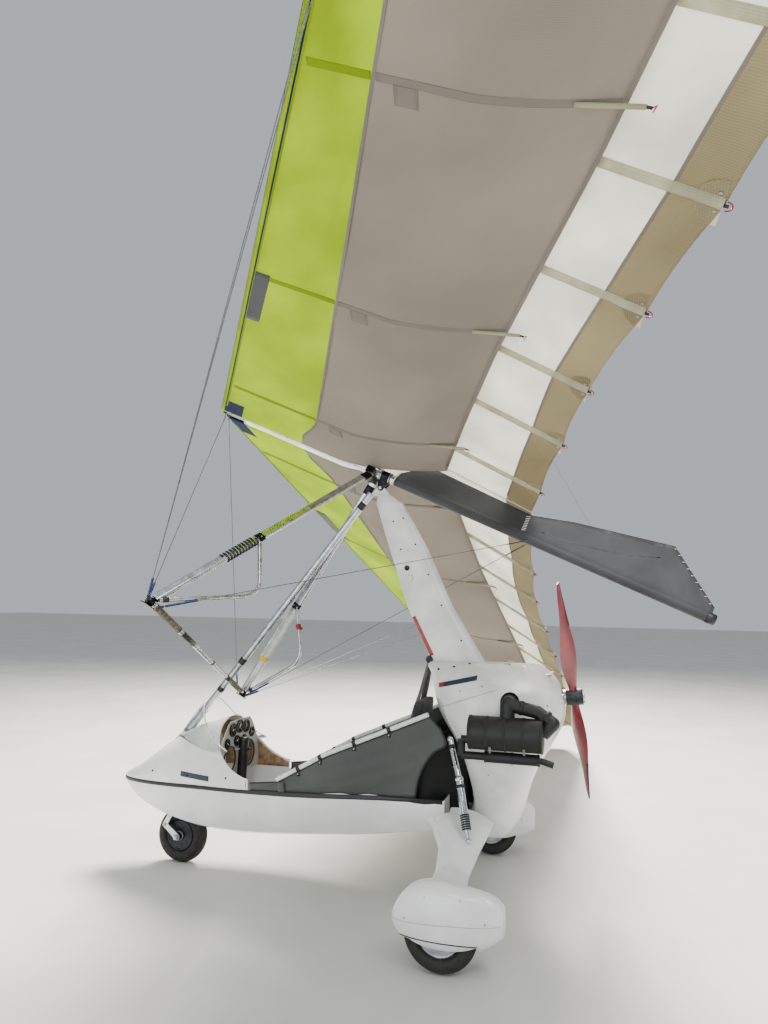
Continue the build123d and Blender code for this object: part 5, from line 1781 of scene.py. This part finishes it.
for side_name, side in SIDES:
    out = [0.10 + 4.15 * i / 80 for i in range(81)]
    parts = [
        under_band("seam", [(lime_line(y), y) for y in out], side, 0.007, 0.0006, seam_and_shadow_cloth),
        under_band("seam", [(edge_x(y) - 0.054, y) for y in out], side, 0.005, 0.0006, lime_seam_and_shadow_cloth),
    ]
    for y in LOWER_BATTENS:
        # the strips along each batten and the patch beside it are painted shadow of battens and
        # patches seen through the cloth
        lime, hem = lime_line(y), rib_at(y)[4]
        for start, end, material in (
            (edge_x(y) - 0.075, lime + 0.008, lime_seam_and_shadow_cloth),
            (lime - 0.008, hem + 0.016, seam_and_shadow_cloth),
        ):
            line = [(start + (end - start) * i / 24, y) for i in range(25)]
            parts.append(under_band("pocket", line, side, 0.014, 0.0012, material))
        front = lime + 0.15 * (hem - lime) + 0.045
        line = [(front - 0.09 * i / 4, y - 0.045) for i in range(5)]
        parts.append(under_band("patch", line, side, 0.034, 0.0008, seam_and_shadow_cloth))
    line = [(rib_at(y)[4] + 0.012, y) for y in out]
    parts.append(under_band("hem", line, side, 0.012, 0.0010, seam_and_shadow_cloth))

    def at(x, y, off):
        """A place under this side's skin, that far below it."""
        return on_under(x, y, side, off)

    parts.append(plate("blank_plate", UNDER_PLATE, at, 0.0018, pocket_cloth, 12))
    joined(f"under_seams_and_shadows_{side_name}", parts, "wing")

# Seam between the single cloth and its trailing band
for side_name, side in SIDES:
    line = []
    for i in range(111):
        y = 0.05 + 4.75 * i / 110
        x = tan_line(y)
        at = on_wing(x + upper_lift(y, x)[0], side * y, upper_z(y, x) - CLOTH)
        line.append((at, -LIFT))
    seam = band("seam", line, 0.006, 0.0008, seam_and_shadow_cloth)
    joined(f"trailing_seam_{side_name}", [seam], "wing")

# Keel pocket and fin, one cloth folded round the keel tube
FIN = [
    (-0.125, 0.060),
    (-0.200, 0.120),
    (-0.330, 0.180),
    (-0.960, 0.150),
    (-1.200, 0.218),
    (-1.748, 0.324),
    (-1.900, 0.191),
    (-2.046, 0.064),
]
TUBE = 0.0275 + 0.0012
FIN_FOOT = 0.022


def fin_half(z, top):
    """Half the width of the fin's cloth between its top edge and the tube."""
    t = (z - top) / (FIN_FOOT - top)
    return 0.0022 + (TUBE * 0.66 - 0.0022) * t ** 2.2


def fin_wave(x, z, top):
    """How far the fin's cloth hangs out of its middle plane."""
    free = smooth_step(0.03, 0.10, z) * smooth_step(top, top - 0.04, z)
    wave = 0.0035 * math.sin(24.0 * x + 16.0 * z) + 0.0016 * math.sin(85.0 * (x - 0.6 * z))
    return wave * free


def on_fin(x, z, side, off):
    """A place on one side of the fin's cloth, that far off it."""
    top = height_at(FIN, x)
    return on_wing(x, side * (fin_half(z, top) + off) + fin_wave(x, z, top), z)


xs = stations_of([FIN], 0.022)[::-1]
verts, uvs = [], []
for x in xs:
    top = height_at(FIN, x)
    section = []
    for k in range(9):
        z = top + (FIN_FOOT - top) * k / 8
        section.append((fin_half(z, top), z))
    for k in range(1, 9):
        angle = math.radians(50 - 140 * k / 8)
        section.append((TUBE * math.cos(angle), TUBE * math.sin(angle)))
    section += [(-w, z) for w, z in reversed(section[:-1])]
    run = 0.0
    for k, (w, z) in enumerate(section):
        run += math.dist(section[max(k - 1, 0)], (w, z))
        verts.append(on_wing(x, w + fin_wave(x, z, top), z))
        uvs.append((x, run))
faces = quads(len(xs), len(section))
fin = mesh_piece("keel_cloth", verts, faces, [pocket_cloth], None, uvs)
thicken(fin, 0.0012, 0.0)
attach(fin, "wing")
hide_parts("keel_pocket")
top_edge = [on_wing(x, 0, height_at(FIN, x)) for x in xs]
opening = []
for n in range(25):
    a = 2 * math.pi * n / 24
    z = 0.030 - 0.058 * (1 - math.cos(a)) / 2 + 0.03 * math.cos(a) ** 2
    opening.append(on_wing(-0.125, 0.030 * math.sin(a), z))
parts = [
    tube("edge_cord", top_edge, 0.0042, black_tape, 8),
    tube("opening_cord", opening, 0.0036, white_paint, 8),
]
# white laced seam across the cloth, and a darker line curved along the fin
STITCH = ((0.011, -0.003), (0.0, 0.0), (-0.011, 0.005))
for side in BOTH:
    for n in range(9):
        x, z = -0.960 + 0.0015 * n, 0.034 + 0.0125 * n
        ends = [on_fin(x + dx, z + dz, side, 0.0022) for dx, dz in STITCH]
        parts.append(tube("stitch", ends, 0.0022, white_paint, 6))
    curved = []
    for n in range(25):
        x, z = -1.060 - 0.640 * n / 24, 0.070 + 0.150 * (n / 24) ** 1.7
        curved.append((on_fin(x, z, side, 0.0006), SPAN * side))
    parts.append(band("fin_line", curved, 0.0035, 0.0008, black_tape))
# dark cap on the tail and the laced seam above it
TAIL_CAP = [(-0.045, 0.0290), (-0.043, 0.0312), (0.0, 0.0312), (0.006, 0.027), (0.008, 0.010)]
LACE = ((0.016, 0.007, -0.004), (0.0, 0.0, 0.007), (-0.012, -0.007, -0.012))
parts.append(turned("tail_cap", on_wing(-2.066, 0, 0), -KEEL, TAIL_CAP, black_tape, 32))
for n in range(9):
    t = (n + 0.5) / 9
    x, z = -1.748 - 0.298 * t, 0.324 - 0.260 * t
    lace = [on_wing(x + dx, y, z + dz) for dx, y, dz in LACE]
    parts.append(tube("lace", lace, 0.0017, white_paint, 6))
trim = joined("keel_cloth_trim", parts, "wing")

# Nuts of the hang bracket's bolt, and the bands beside it on the keel
LOCK_NUT = [(0, 0.012), (0.007, 0.012), (0.009, 0.009), (0.009, 0.0062)]
parts = []
pivot = HANG - KEEL * 0.060 - KEEL_UP * 0.075
for side in BOTH:
    way = Vector((0, side, 0))
    parts.append(turned("nut", pivot + way * 0.0208, way, LOCK_NUT, stainless, 6))
for off in (-0.030, 0.030):
    at = HANG - KEEL * (0.060 - off)
    parts.append(raised("collar_band", at, KEEL, 0.004, 0.001, 0.0356, 0.0372, stainless, 40))
joined("hang_bolts", parts, "hang_bracket")

bpy.context.view_layer.update()

# Floor
floor = mesh_piece(
    "floor",
    [(-60, -60, -0.0005), (60, -60, -0.0005), (60, 60, -0.0005), (-60, 60, -0.0005)],
    [(0, 1, 2, 3)],
    [finish_of("pale_floor", "C9C8C2", "D4D3CD", (0.7, 0.8), 900)],
    smooth=False,
)
